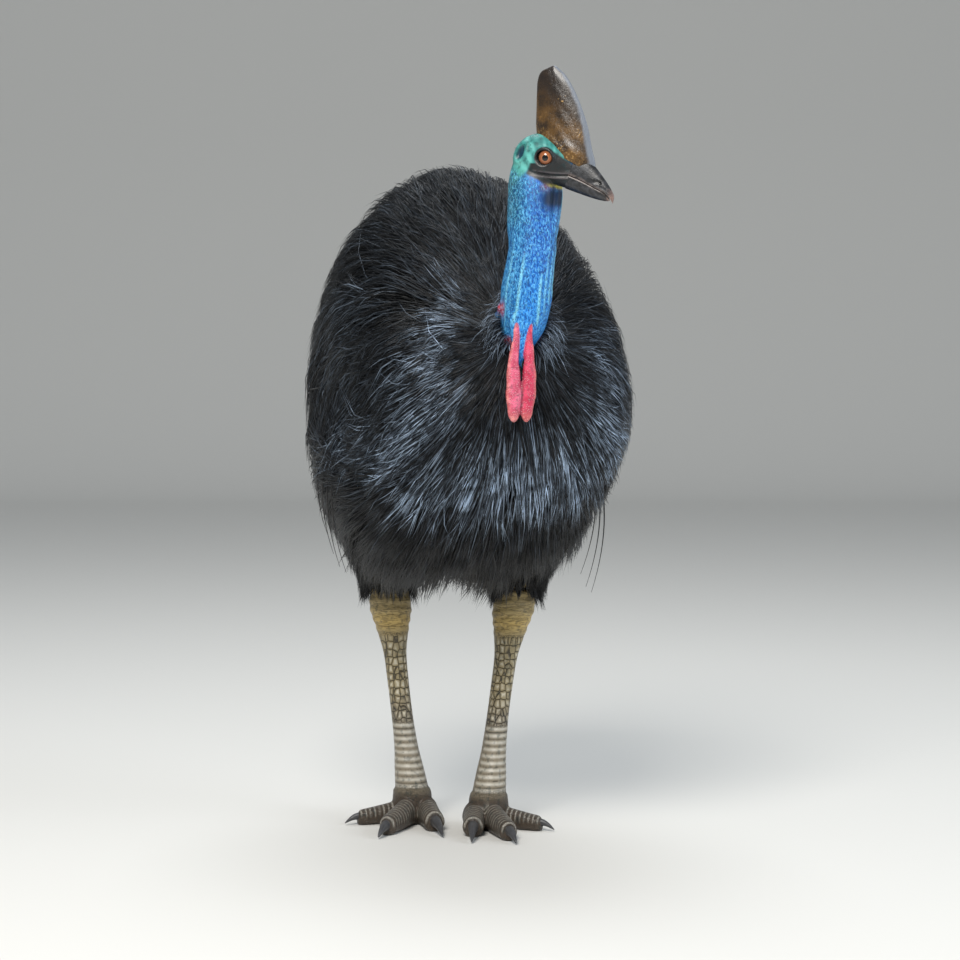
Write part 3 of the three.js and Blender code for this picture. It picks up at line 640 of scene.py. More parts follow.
tall = co[:, 2]
neck_t = np.interp(tall, [row[3] for row in NECK[::-1]], [row[0] for row in NECK[::-1]])
neck_x, neck_y, _, _, _ = read(NECK, neck_t)
turn = np.arctan2(co[:, 1] - neck_y, co[:, 0] - neck_x)
neck_near = np.hypot(co[:, 0] - neck_x, co[:, 1] - neck_y) < 90
on_neck = (neck_near & (tall > 760) & (co[:, 1] < -250)) | (tall > 1225)
on_leg = tall < 455

lay("neck", on_neck)
lay("neck_low", on_neck * smooth(0.45, 0.8, neck_t))
lay("neck_side", on_neck * smooth(0.2, 0.9, -np.cos(turn)) * 0.8)
# Painted highlight: the crests of the neck's folds are painted pale.
ridges = fold_height(NECK_FOLDS, neck_t, turn) / 3.0
lay("ridge_highlight", on_neck * smooth(0.35, 0.95, ridges) * (0.3 + 0.7 * smooth(0.4, 0.65, neck_t)))
on_head = on_neck & (tall > 1120) & (np.hypot(forward + 5, up + 12) < 100)


def patch(at_forward, at_up, long, high):
    """A soft oval on the side of the head."""
    return bell(forward - at_forward, long) * bell(up - at_up, high)


lay("nape", on_head * patch(-50, -66, 22, 42) * 0.9)
teal_edge = -30 + np.where(forward < -18, 2.6, 0.65) * (forward + 18)
lay("crown", on_head * smooth(-12, 12, up - np.maximum(teal_edge, -92)))
lay("behind_eye", on_head * patch(-32, -28, 19, 9) * 0.95)
lay("behind_eye", on_head * patch(-24, -12, 8, 12) * 0.8)
mottles = np.sin(0.22 * forward + 0.09 * up + 2 * np.sin(0.07 * up)) * np.sin(0.13 * up - 0.1 * forward + 1)
mottles = mottles + 0.5 * np.sin(0.47 * forward + 0.33 * up + 0.3 * side + 2 * np.sin(0.1 * forward))
lay("nape", on_head * smooth(-60, -32, up) * smooth(-0.3, 1.2, mottles) * 0.5)
lay("behind_eye", on_head * smooth(-30, -16, up) * smooth(0.2, 1.1, -mottles) * 0.5)
left_edge = smooth(0.35, 0.95, np.cos(turn - radians(165)))
lay("nape", on_neck * left_edge * smooth(1085, 1135, tall) * (1 - smooth(1180, 1200, tall)) * 0.75)
lay("nape", on_head * patch(-20, 22, 16, 7) * 0.5)
# Painted shadow: the hollow under the jaw and the jaw's underside are painted dark blue.
lay("painted_shade", on_head * patch(38, -61, 18, 20) * 1.15)
lay("painted_shade", on_head * patch(42, -54, 20, 9) * 1.1)
# Painted highlight: the lit edge of the throat's flange is painted pale along its fold.
flange = fold_height([[-22, 0.02, 0.5, 1, 6]], neck_t, turn)
lay("ridge_highlight", on_neck * smooth(0.4, 0.95, flange) * (0.35 + 0.4 * smooth(1100, 1160, tall)))
brow_line = 16.5 - 0.2 * forward
face = smooth(-3, 3, forward - 9 + 28 * smooth(-9, -20, up)) * (1 - smooth(-2, 2, up - brow_line))
chin_line = -39 - 5.5 * bell(forward - 23, 14)
face = face * smooth(-2, 2, up - chin_line)
lay("face", on_head * face)
gape = gape_distance(forward, up)
lay("lip", on_head * bell(gape - 4, 1.4) * smooth(-16, -4, forward) * 0.7)
# Painted shade: the groove of the mouth along the gape is painted near black.
lay("lid_and_gape_shade", on_head * bell(gape, 1.9))
lay("lid_and_gape_shade", on_head * (np.abs(side) > 14) * (1 - smooth(16.5, 18.5, np.hypot(forward, up))))
lay("chin_streak", on_head * patch(32, -41.5, 8, 2.4) * 1.5)
lay("chin_patch", on_head * patch(20, -47, 6.5, 5) * 0.95)
# Painted shade: the ear's cup is painted dark inside its hollow.
lay("painted_shade", on_head * (1 - smooth(0.6, 1.1, oval(EAR, forward, up))) * 0.9)
root_ring = 1.3 * bell(neck_t - 0.805, 0.035) * smooth(0.92, 1.0, np.abs(np.cos(turn)))
lay("caruncle", on_neck * np.maximum(root_ring, smooth(0.96, 1.0, neck_t) * (np.sin(turn) > -0.8)))
wattled = np.zeros(len(co))
for at in (1, -1):
    s = np.clip((WATTLE["top"] - tall) / (WATTLE["top"] - WATTLE["bottom"]), 0, 1)
    wide, deep = np.maximum(read(WATTLE_SHAPE, s), 0.05)
    x, y, _ = wattle_middle(at, s)
    off = np.hypot((co[:, 0] - x) / (WATTLE["half"] * wide), (co[:, 1] - y) / (WATTLE["deep"] * deep))
    inside = (1 - smooth(1.15, 1.45, off)) * (tall < WATTLE["top"] + 2)
    lay("wattle", inside)
    lay("wattle_pale", inside * (0.25 if at > 0 else 0.7))
    outward = at * (co[:, 0] - x) / (WATTLE["half"] * wide)
    rim = np.maximum(0.75 * smooth(0.45, 0.95, outward), 0.7 * smooth(0.84, 0.97, s))
    lay("wattle_rim", inside * rim)
    # Painted shade: the crease where the two wattles meet is painted dark red.
    lay("wattle_crease_shade", inside * smooth(0.72, 1.0, -outward) * smooth(0.42, 0.55, s) * 0.85)
    wattled = np.maximum(wattled, inside)

# The legs' own colours, with each scute's pale face and dark gap.
lay("shank", on_leg)
lay("shank_low", on_leg * (1 - smooth(190, 260, tall)))
lay("foot", on_leg * (1 - smooth(50, 66, tall)))
hexagons, creases, faces, gaps, edges = np.zeros((5, len(co)))
for name, leg in LEGS.items():
    u = np.clip((tall - FOOT_TOP) / (leg["ankle"][2] + SHANK_TOP - FOOT_TOP), 0, 1)
    off_x, off_y, _ = (co - shank_middle(leg, u)).T
    beside = on_leg * (np.hypot(off_x, off_y) < 70) * (tall > FOOT_TOP + 3)
    front = smooth(-0.2, 0.35, -np.sin(np.arctan2(off_y, off_x) - leg["turn"] * 0.5))
    phase = ((1 - u / SCUTES_TOP) * SHANK_SCUTES) % 1
    scuted = beside * (u < SCUTES_TOP) * front
    gaps = np.maximum(gaps, scuted * np.maximum(smooth(0.91, 0.97, phase), 1 - smooth(0.0, 0.04, phase)))
    faces = np.maximum(faces, scuted * bell(phase - 0.42, 0.24) * smooth(0.2, 0.9, front))
    tiled = over_scutes(u) * (1 - smooth(0.74, 0.8, u))
    hexagons = np.maximum(hexagons, beside * tiled * (0.55 + 0.45 * front))
    creases = np.maximum(creases, beside * smooth(0.74, 0.82, u))
    lay("ankle", beside * (0.25 * smooth(0.7, 0.85, u) + 0.6 * front * bell(tall - 375, 18)))
    for toe_name, toe in TOES.items():
        heading = radians(HEADINGS[name][toe_name])
        root = foot_place(leg, HEADINGS[name][toe_name], toe["inset"], np.zeros((1, 3)))
        run_x, run_y, _ = (co - root).T
        u = (run_x * sin(heading) - run_y * cos(heading)) / toe["length"]
        aside = run_x * cos(heading) + run_y * sin(heading)
        on_toe = (np.abs(aside) < toe["half"][0] + 5) * (u > 0.25) * (u < 1.02) * smooth(12, 22, tall)
        on_toe = on_toe * (tall < 60)
        phase = (u * toe["scutes"]) % 1
        edges = np.maximum(edges, on_toe * bell(phase - 0.76, 0.13))
        gaps = np.maximum(gaps, on_toe * np.maximum(smooth(0.9, 0.98, phase), 1 - smooth(0.0, 0.1, phase)))
lay("scute_edge", np.maximum(edges * 0.6, faces * 0.62))
lay("scute_gap", gaps * 0.85)

# What kind of skin lies where: wrinkles on the neck, scales on the legs, grains on the wattles, and creases.
even_head = 1 - on_head * smooth(-50, -38, up)
even_throat = 1 - on_head * np.minimum(1, patch(38, -61, 18, 20) * 1.4)
wrinkles = on_neck * (1 - wattled) * even_head * even_throat
scales = np.maximum(hexagons, 0.5 * on_leg * (tall < FOOT_TOP + 8))
kind = np.stack([wrinkles, scales, wattled, creases], -1)
for name, values in (("hide_colour", np.c_[colour, np.ones(len(co))]), ("hide_kind", kind)):
    painted = skin.data.color_attributes.new(name, "FLOAT_COLOR", "POINT")
    painted.data.foreach_set("color", values.astype(np.float32).ravel())


class Finish:
    """A colour or value in a material, so that sums and products of them read as plain expressions."""

    def __init__(self, tree, socket=None):
        self.tree, self.socket = tree, socket

    def node(self, kind, settings, sockets, output=0):
        """Adds a node, sets it up, then gives its sockets their values or links."""
        made = self.tree.nodes.new(kind)
        for name, value in settings.items():
            setattr(made, name, value)
        for name, value in sockets.items():
            if isinstance(value, Finish):
                self.tree.links.new(value.socket, made.inputs[name])
            else:
                made.inputs[name].default_value = value
        return Finish(self.tree, made.outputs[output])

    def math(self, operation, *values):
        return self.node("ShaderNodeMath", {"operation": operation}, dict(enumerate(values)))

    def __add__(self, other):
        return self.math("ADD", self, other)

    __radd__ = __add__

    def __mul__(self, other):
        return self.math("MULTIPLY", self, other)

    __rmul__ = __mul__

    def __sub__(self, other):
        return self.math("SUBTRACT", self, other)

    def __rsub__(self, other):
        return self.math("SUBTRACT", other, self)

    def within(self, low, high):
        """Rises smoothly from 0 at low to 1 at high."""
        sockets = {"Value": self, "From Min": low, "From Max": high}
        return self.node("ShaderNodeMapRange", {"interpolation_type": "SMOOTHSTEP"}, sockets)

    def between(self, one, other):
        """From one colour to the other as this value rises from 0 to 1."""
        return self.node("ShaderNodeMix", {"data_type": "RGBA"}, {0: self, 6: one, 7: other}, output=2)

    def toward(self, shade, share):
        """This colour mixed towards another by a share."""
        return share.between(self, shade)

    def scaled(self, amounts):
        return self.node("ShaderNodeVectorMath", {"operation": "MULTIPLY"}, {0: self, 1: amounts})

    def noise(self, scale, detail, **more):
        """Cloudy noise over these places."""
        return self.node("ShaderNodeTexNoise", {}, {"Vector": self, "Scale": scale, "Detail": detail, **more})

    def cells(self, scale, feature="F1", **more):
        """Close-set cells over these places, as the distance to a cell's middle or to its edge."""
        sockets = {"Vector": self, "Scale": scale, **more}
        return self.node("ShaderNodeTexVoronoi", {"feature": feature}, sockets)

    def carried(self, name, output=0):
        """What the piece carries at its vertices: output 0 is a colour, 2 a number, 3 a fourth value."""
        return self.node("ShaderNodeAttribute", {"attribute_name": name}, {}, output)


def new_material(name, **constants):
    """A material with its constant values set on its shader, that shader, and the places on the piece."""
    material = bpy.data.materials.new(name)
    material.use_nodes = True
    shader = material.node_tree.nodes["Principled BSDF"]
    for socket, value in constants.items():
        shader.inputs[socket.replace("_", " ")].default_value = value
    return material, shader, Finish(material.node_tree).node("ShaderNodeTexCoord", {}, {}, output=3)


def connect(shader, height=None, distance=0.001, **sockets):
    """Feeds the varying sockets, and the bump that a height gives."""
    tree = shader.id_data
    for name, value in sockets.items():
        tree.links.new(value.socket, shader.inputs[name.replace("_", " ")])
    if height is not None:
        bump = height.node("ShaderNodeBump", {}, {"Height": height, "Distance": distance, "Strength": 1})
        tree.links.new(bump.socket, shader.inputs["Normal"])


def settle(piece, material, cad_slot, *nodes):
    """Scales a finished piece to metres in its place, gives it its material and body, and hides the imported
    nodes it stands for. The slot it is given is not used.
    """
    piece.data.transform(PLACE)
    piece.data.materials.clear()
    piece.data.materials.append(material)
    piece.data.shade_smooth()
    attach(piece, "root")
    if nodes:
        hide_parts(*nodes)
    return piece


hide, shader, place = new_material("hide", Coat_Roughness=0.35)
base = place.carried("hide_colour")
kinds = place.carried("hide_kind")
creased = place.carried("hide_kind", output=3)
wrinkled, scaly, granular = (kinds.node("ShaderNodeSeparateColor", {}, {0: kinds}, n) for n in range(3))
worms = place.scaled((1, 1, 0.45)).noise(400, 1, Distortion=0.8)
mottle = place.noise(60, 3)
fine = place.noise(900, 2)
cells = place.scaled((1, 1, 0.72)).cells(98, "DISTANCE_TO_EDGE", Randomness=0.4)
pebbles = place.cells(260, "DISTANCE_TO_EDGE")
grains = place.cells(300)
lines = place.scaled((1, 1, 5)).noise(75, 3, Distortion=0.6)
blotches = place.noise(125, 4)
big_tiles = scaly.within(0.5, 0.62)
small_tiles = scaly.within(0.1, 0.4) * (1 - big_tiles)
raised = worms.within(0.42, 0.70) * wrinkled
cracks = (1 - cells.within(0.005, 0.075)) * big_tiles + (1 - pebbles.within(0.0, 0.14)) * small_tiles * 0.5
cracks = cracks + (1 - lines.within(0.38, 0.52)) * creased * 0.42
domes = cells.within(0.1, 0.4) * big_tiles
grain = (1 - grains.within(0.15, 0.45)) * granular
stained = base.toward((0.001, 0.022, 0.026, 1), blotches.within(0.50, 0.68) * 0.45)
# Painted highlight and shade: the raised wrinkles are painted pale blue and the troughs between them deep
# blue.
pale = stained.toward((0.16, 0.58, 0.94, 1), raised * 0.6)
deep = pale.toward((0.001, 0.03, 0.16, 1), (1 - worms.within(0.32, 0.48)) * wrinkled * 0.8)
silver = deep.toward((0.62, 0.57, 0.45, 1), domes * mottle.within(0.3, 0.6) * scaly.within(0.6, 1.0) * 0.85)
cracked = silver.toward((0.016, 0.012, 0.008, 1), cracks * 0.85)
# Painted shade and highlight: the wattles are painted dark red between their grains, in patches, and pale pink
# on the grains' tops.
shaded_between_grains = cracked.toward((0.36, 0.008, 0.04, 1), (1 - grain) * granular * mottle.within(0.35, 0.6) * 0.6)
grained = shaded_between_grains.toward((0.86, 0.36, 0.42, 1), grain * 0.5)
height = raised * 0.5 + fine * 0.10 - cracks * 0.9 + domes * 0.4 + grain * 0.5
connect(shader, height, distance=0.0022, Base_Color=grained, Roughness=0.3 + fine * 0.22)
single_nodes = ("head", "neck_upper", "neck_lower", "torso", "tail")
toe_nodes = [f"toe_{toe}_{side}" for toe in TOES for side in LEGS]
leg_nodes = [f"{part}_{side}" for part in ("wattle", "thigh", "shank", "foot") for side in LEGS]
settle(skin, hide, "neck_blue_skin", *single_nodes, *leg_nodes, *toe_nodes)

# Eyes
# Glossy balls seated behind the lids, looking a little forward: a black pupil in an orange-brown iris that
# darkens to a black edge.

GAZE = radians(15)
# Where each edge on the eye starts and ends, in metres from the middle of its front.
PUPIL = (0.0050, 0.0059)
PALE_RING = (0.0058, 0.0076)
IRIS_RIM = (0.0100, 0.0142)
BLACK_EDGE = (0.0140, 0.0150)


def gaze(side):
    """The way an eye looks, from straight out to the side towards the bill."""
    there = from_head(side * cos(GAZE), sin(GAZE), 0) - HEAD_MIDDLE
    return Vector(there).normalized()


for side, name in ((1, "left"), (-1, "right")):
    globe = bmesh.new()
    centre = Vector(from_head(side * EYE["side"], 0, 0))
    ball(globe, centre, (EYE["radius"],) * 3, 48, 32, gaze(side).to_track_quat("Z", "Y"))
    eye = piece_of(globe, f"eyeball_{name}")
    wet = {"Roughness": 0.1, "Specular_IOR_Level": 0.25, "Coat_Weight": 0.7, "Coat_Roughness": 0.02}
    iris, shader, place = new_material(f"eye_{name}", **wet)
    front = PLACE @ (centre + gaze(side) * EYE["radius"])
    off = place.node("ShaderNodeVectorMath", {"operation": "DISTANCE"}, {0: place, 1: front}, output=1)
    amber = place.noise(700, 3).between((0.40, 0.13, 0.042, 1), (0.17, 0.052, 0.018, 1))
    rimmed = amber.toward((0.05, 0.015, 0.006, 1), off.within(*IRIS_RIM))
    ringed = rimmed.toward((0.75, 0.36, 0.16, 1), (1 - off.within(*PALE_RING)) * 0.2)
    dark = ringed.toward((0.004, 0.004, 0.004, 1), 1 - off.within(*PUPIL))
    connect(shader, Base_Color=dark.toward((0.006, 0.006, 0.006, 1), off.within(*BLACK_EDGE)))
    settle(eye, iris, "eye", f"eye_{name}")

# Casque
# A tall keeled blade of horn over spongy bone, grown out of the crown. Its flanks are polished golden brown,
# darker to the top, and the leading keel is a worn grey-blue, brightened further as a painted highlight.

# Each row: place up the casque, front forward and up, rear forward and up, half width.
CASQUE = [
    [0.0, 84, 6, -36, 17, 19],
    [0.14, 79, 22, -43, 29, 19],
    [0.3, 62, 44, -50, 42, 16.5],
    [0.48, 42, 72, -60, 66, 13],
    [0.66, 18, 98, -70, 90, 10.5],
    [0.82, -8, 121, -77, 110, 8.5],
    [0.94, -34, 138, -76, 127, 6.5],
    [1.0, -56, 145, -62, 142, 3],
]


def casque_horn(turn, along, reach):
    front_f, front_z, rear_f, rear_z, half = read(CASQUE, along)
    c = np.cos(turn)
    keel = 0.5 + 0.5 * c
    pinch = 1 - 0.45 * np.maximum(0, c) ** 2
    dents = 1 + 0.03 * np.sin(23 * along + 5 * keel) * np.sin(11 * keel + 3 * along)
    side = np.sin(turn) * half * pinch * dents * reach
    shift = 0.5 + (keel - 0.5) * reach
    return from_head(side, rear_f + (front_f - rear_f) * shift, rear_z + (front_z - rear_z) * shift)


def carry(piece, name, values):
    """Gives each vertex of a piece a number that its material reads."""
    attribute = piece.data.attributes.new(name, "FLOAT", "POINT")
    attribute.data.foreach_set("value", values.astype(np.float32))


horn = bmesh.new()
loft(horn, 96, 90, casque_horn)
casque = piece_of(horn, "casque_horn")
_, forward, up = to_head(np.array([v.co for v in casque.data.vertices]))
front_at = np.interp(up, [row[2] for row in CASQUE], [row[1] for row in CASQUE])
carry(casque, "keel", np.clip(1 - (front_at - forward) / 26, 0, 1))
carry(casque, "rise", np.clip((up - 12 - 0.2 * (20 - forward)) / 125, 0, 1))

horn_finish, shader, place = new_material("casque_horn", Coat_Weight=0.35, Coat_Roughness=0.14)
keel = place.carried("keel", output=2)
high = place.carried("rise", output=2)
blotch = place.noise(42, 6, Roughness=0.65)
speck = place.noise(260, 4, Roughness=0.7)
lamina = place.scaled((1, 1, 0.25)).noise(150, 3)
gold = blotch.within(0.35, 0.65).between((0.024, 0.012, 0.003, 1), (0.12, 0.060, 0.013, 1))
aged = gold.toward((0.008, 0.005, 0.004, 1), (high + blotch * 0.35).within(0.45, 0.9) * 0.9)
pebbly = 1 - (high + blotch * 0.25).within(0.16, 0.36)
# Pale gold flecks near the casque's base, and clusters of them over the brighter blotches as painted glints.
fleck_and_glint = speck.within(0.55, 0.64) * (pebbly * 0.7 + blotch.within(0.58, 0.68) * 0.8)
scuffed = aged.toward((0.16, 0.085, 0.07, 1), high.within(0.9, 1.0) * speck.within(0.4, 0.6) * 0.8)
flecked_and_glinting = scuffed.toward((0.50, 0.30, 0.10, 1), fleck_and_glint)
# The keel is painted grey-blue: worn horn, and a painted highlight along the lit edge.
worn_and_lit_keel = flecked_and_glinting.toward((0.15, 0.17, 0.205, 1), (keel + lamina * 0.3 - high * 0.16).within(0.56, 0.88))
height = blotch * 0.6 + speck * 0.3 + lamina * 0.4
connect(shader, height, distance=0.0016, Base_Color=worn_and_lit_keel, Roughness=0.16 + speck * 0.25 + keel * 0.15)
settle(casque, horn_finish, "casque", "casque")

# Bill
# Two horn sheaths that meet along the mouth line. The upper has a keeled ridge, an open nostril on either
# side and a down-turned tip, and both are black horn that pales to pinkish grey at the tip and edges.

# Each row: how far forward, ridge height, mouth line height, half width.
UPPER_BILL = [
    [46, 30, -12.5, 16],
    [64, 27, -11.6, 14],
    [80, 18.5, -12.3, 12],
    [97, 10, -13.6, 10],
    [114, 0.5, -15, 8],
    [127, -8.5, -19, 5.5],
    [133, -15, -23.5, 3.6],
    [136, -27, -27, 0],
]
# Each row: how far forward, mouth line height, lower edge height, half width.
LOWER_BILL = [
    [46, -12.8, -37.5, 15],
    [69, -12.2, -35.5, 12.6],
    [97, -14, -32.5, 9.2],
    [114, -15.5, -29.5, 6.4],
    [124, -19.5, -26.5, 3.6],
    [129, -23.5, -23.5, 0],
]
NOSTRIL = {"forward": 98, "up": -3, "long": 9, "high": 2.7, "deep": 3.5}


def bill_half(table, is_upper):
    first, last = table[0][0], table[-1][0]

    def place(turn, along, reach):
        forward = first + (last - first) * (1 - (1 - along) ** 1.35)
        one, two, half = read(table, forward)
        outer, mouth = (one, two + 0.6) if is_upper else (two, one - 0.6)
        s = np.sin(turn)
        above = s > 0.01
        height = np.where(above, np.abs(outer - mouth) * np.abs(s) ** 0.9, 0)
        half = np.maximum(half, 0)
        side = half * np.cos(turn) * np.where(above, 1, 1 + 0.25 * s)
        up = mouth + (height if is_upper else -height) * reach
        if is_upper:
            inward = NOSTRIL["deep"] * (1 - smooth(0.6, 1.05, oval(NOSTRIL, forward, up)))
            groove = 0.8 * bell(up - mouth - 5, 1.6) * smooth(60, 90, forward)
            side = np.sign(side) * np.maximum(np.abs(side) - (inward + groove) * (np.abs(side) > 3), 0)
        ended = along >= 1
        return from_head(np.where(ended, 0, side * reach), forward, np.where(ended, (outer + mouth) / 2, up))

    return place


bill_horn, shader, place = new_material("bill_horn", Coat_Weight=0.2, Coat_Roughness=0.2)
cloud = place.noise(120, 5, Roughness=0.6)
scratch = place.scaled((1, 1, 4)).noise(300, 3)
black = cloud.within(0.4, 0.7).between((0.010, 0.0105, 0.012, 1), (0.045, 0.047, 0.054, 1))
tip = (place.carried("to_tip", output=2) + cloud * 0.3).within(0.96, 1.2)
paled = black.toward((0.32, 0.20, 0.165, 1), tip * 0.85)
edge = place.carried("to_edge", output=2) * cloud.within(0.3, 0.6)
edged = paled.toward((0.30, 0.23, 0.20, 1), edge * 0.8)
# Painted shade: the nostril's hollow is painted near black.
nostril_shaded = edged.toward((0.004, 0.004, 0.004, 1), place.carried("in_nostril", output=2))
height = cloud * 0.5 + scratch * 0.4
connect(shader, height, distance=0.0008, Base_Color=nostril_shaded, Roughness=0.26 + cloud * 0.25)
for name, table, is_upper in (("bill_upper", UPPER_BILL, True), ("bill_lower", LOWER_BILL, False)):
    sheath = bmesh.new()
    loft(sheath, 64, 90, bill_half(table, is_upper))
    bill = piece_of(sheath, f"horn_{name}")
    _, forward, up = to_head(np.array([v.co for v in bill.data.vertices]))
    first, second, _ = read(table, np.clip(forward, table[0][0], table[-1][0]))
    mouth = second if is_upper else first
    carry(bill, "to_tip", np.clip((forward - 46) / 88, 0, 1))
    carry(bill, "to_edge", np.clip(1 - np.abs(up - mouth) / 3.2, 0, 1))
    carry(bill, "in_nostril", (1 - smooth(0.8, 1.1, oval(NOSTRIL, forward, up))) * is_upper)
    settle(bill, bill_horn, "bill", name)

# Claws
# Each toe ends in a sheath of black horn, drawn over the toe's last joint. The inner toe's is the longest, a
# straight dagger, and all of them reach down to the ground.

# How far each claw reaches past its toe, and its half width at the root.
CLAWS = {"middle": (44, 12.5), "inner": (68, 13), "outer": (28, 9)}
CLAW_OVERLAP = 14


def claw_sheath(leg, heading, toe, reach_out, root):
    def place(angle, along, reach):
        forward = toe["length"] - CLAW_OVERLAP + (reach_out + CLAW_OVERLAP) * along
        drop = toe["high"][1] * 0.5 * (1 - along) + 4 * along + 7 * np.sin(pi * along)
        half = root * (1 - along) ** 0.6 * reach
        height = np.maximum(1.2, drop + np.sin(angle) * half)
        points = np.stack([np.cos(angle) * half * 0.85, -forward, height], -1)
        return foot_place(leg, heading, toe["inset"], points)

    return place


claw_horn, shader, place = new_material("claw_horn", Coat_Weight=0.2, Coat_Roughness=0.3)
cloud = place.noise(90, 5)
ridged = place.noise(420, 3)
slate = cloud.between((0.012, 0.012, 0.014, 1), (0.075, 0.075, 0.080, 1))
dusty = slate.toward((0.14, 0.115, 0.085, 1), ridged.within(0.58, 0.75) * 0.4)
connect(shader, ridged + cloud, distance=0.0006, Base_Color=dusty, Roughness=0.34 + ridged * 0.2)
for name, leg in LEGS.items():
    for toe_name, toe in TOES.items():
        sheath = bmesh.new()
        loft(sheath, 24, 24, claw_sheath(leg, HEADINGS[name][toe_name], toe, *CLAWS[toe_name]))
        claw = piece_of(sheath, f"horn_claw_{toe_name}_{name}")
        settle(claw, claw_horn, "claw", f"claw_{toe_name}_{name}")

# Wing quills
# The wing is a hidden stub with a few bare shafts of polished black horn. They root in the stub, arch out
# over the flank and hang down along it.

QUILLS = 4
# Each wing's side, and how far out, back and up its quills root.
WINGS = {"left": (1, 236, -60, 724), "right": (-1, 246, -60, 776)}


def wing_stub(side, x, y, z):
    def place(turn, along, reach):
        ring = np.sin(pi * along)
        across = side * (x - 40) + 28 * ring * np.cos(turn)
        return np.stack([across, y + 30 * ring * np.sin(turn), z + 14 * np.cos(pi * along)], -1)

    return place


def quill_shaft(side, x, y, z, n):
    spread = n / (QUILLS - 1) - 0.5
    length = 300 - 40 * abs(spread) - 20 * n

    def place(angle, s, reach):
        thick = 2.6 * (1 - 0.85 * s) * reach
        out = x - 22 + 62 * np.sin(1.9 * s) - 42 * s * s + spread * 6 * s
        back = y + spread * 44 + spread * 60 * s + 24 * s
        up = z - 4 - length * (0.25 * s + 0.75 * s**1.4)
        return np.stack([side * (out + np.cos(angle) * thick), back + np.sin(angle) * thick, up], -1)

    return place


quill_horn, shader, place = new_material("quill_horn", Roughness=0.28)
cloud = place.noise(60, 3)
sooty = cloud.between((0.008, 0.008, 0.009, 1), (0.035, 0.033, 0.032, 1))
connect(shader, cloud, distance=0.0004, Base_Color=sooty)
for name, wing_root in WINGS.items():
    wing = bmesh.new()
    loft(wing, 16, 8, wing_stub(*wing_root), capped=False)
    for n in range(QUILLS):
        loft(wing, 8, 20, quill_shaft(*wing_root, n))
    settle(piece_of(wing, f"quills_{name}"), quill_horn, "quill", f"wing_{name}")

# Plumage
# The coat is long, loose, hair-like feathers without hooks. They root in the skin, rise through one another
# and lie back along the body, radiating from the neck's root and drooping down either side.

FEATHER_STEPS = 4
TUFT = 12
# Thickness down a feather, as shares of its width, and half the size of its patch on the coat's chart.
TAPER = (0.6, 1.0, 0.9, 0.6)
PATCH = 0.0015
draw = np.random.default_rng(1947)


def speed(t, turn):
    """How far apart neighbouring points lie for a small step along or round the trunk."""
    here = trunk_point(t, turn, 0)
    along = np.linalg.norm(trunk_point(t + 0.01, turn, 0) - here, axis=-1) / 0.01
    around = np.linalg.norm(trunk_point(t, turn + 0.02, 0) - here, axis=-1) / 0.02
    return along, around


def feather_path(t, turn, length, lift, spread):
    """Middles of the feathers from root to tip, tuft by tuft, and the way out of the skin there.

    The feathers of a tuft cling together towards its tip. Each lies back along the trunk, droops down its
    side, and hangs free under the belly and over the rump.
    """
    single = np.repeat(np.arange(len(t)), TUFT)
    waves = 0.10 * np.sin(7 * turn + 11 * t) + 0.08 * np.sin(13 * turn - 23 * t + 1)
    flow = waves + draw.normal(0, 0.06, len(t))
    stray = draw.normal(0, 0.05, len(single)) * (1 + 2.5 * (draw.random(len(single)) < 0.08))
    rise_more = draw.normal(0, 3.5, len(single))
    front = smooth(0.0, 0.6, -np.sin(turn)) * (1 - smooth(0.34, 0.5, t))
    fan = 0.5 * np.sin(turn + radians(96)) * front
    droop = 0.28 * np.cos(turn) * (1 - 0.8 * front)
    calm = 1 - 0.8 * bell(apart(turn, -90), np.degrees(0.45))
    along, around = speed(t, turn)
    off_t = draw.normal(0, 1, len(single)) * (spread / along)[single]
    off_turn = draw.normal(0, 1, len(single)) * (spread / around)[single]
    reach = draw.uniform(0.8, 1.08, len(single))
    place, middles, outs = t.copy(), [], []
    drop = np.zeros(len(t))
    for step in range(FEATHER_STEPS + 1):
        s = step / FEATHER_STEPS
        bend = turn + (fan * s - droop * s * s) * (length / 200) + flow * calm * s
        cling = 1 - 0.85 * s**1.2
        at = place[single] + off_t * cling
        turned = bend[single] + off_turn * cling + stray * calm[single] * s * s
        root = read(PLUMAGE_DEPTH, at)[0] + 3
        depth = root + (-(lift[single] + rise_more * s) - root) * (1 - (1 - s) ** 2.0)
        middle = trunk_point(at, turned, depth)
        out = trunk_point(at, turned, depth - 4) - middle
        middle[:, 2] -= drop[single] * reach
        middles.append(middle)
        outs.append(out)
        under = trunk_point(place, bend, -4) - trunk_point(place, bend, 0)
        hang = 0.36 * smooth(0.25, 0.95, -under[:, 2] / 4) * smooth(0.2, 0.4, place)
        hang = hang + 0.55 * smooth(0.84, 1.0, place)
        stride = length / FEATHER_STEPS
        drop = drop + stride * hang * (0.4 + 1.2 * s)
        place = np.minimum(place + stride * (1 - 0.55 * hang) / speed(place, bend)[0], 1.03 + 0.01 * flow)
    return np.stack(middles, 1), np.stack(outs, 1)


def unit(ways):
    return ways / (np.linalg.norm(ways, axis=-1, keepdims=True) + 1e-9)


def chart_at(turn, height):
    """Where roots at these turns and heights lie on a coat's chart."""
    return np.stack([0.02 + 0.96 * ((turn / (2 * pi)) % 1), height], -1)


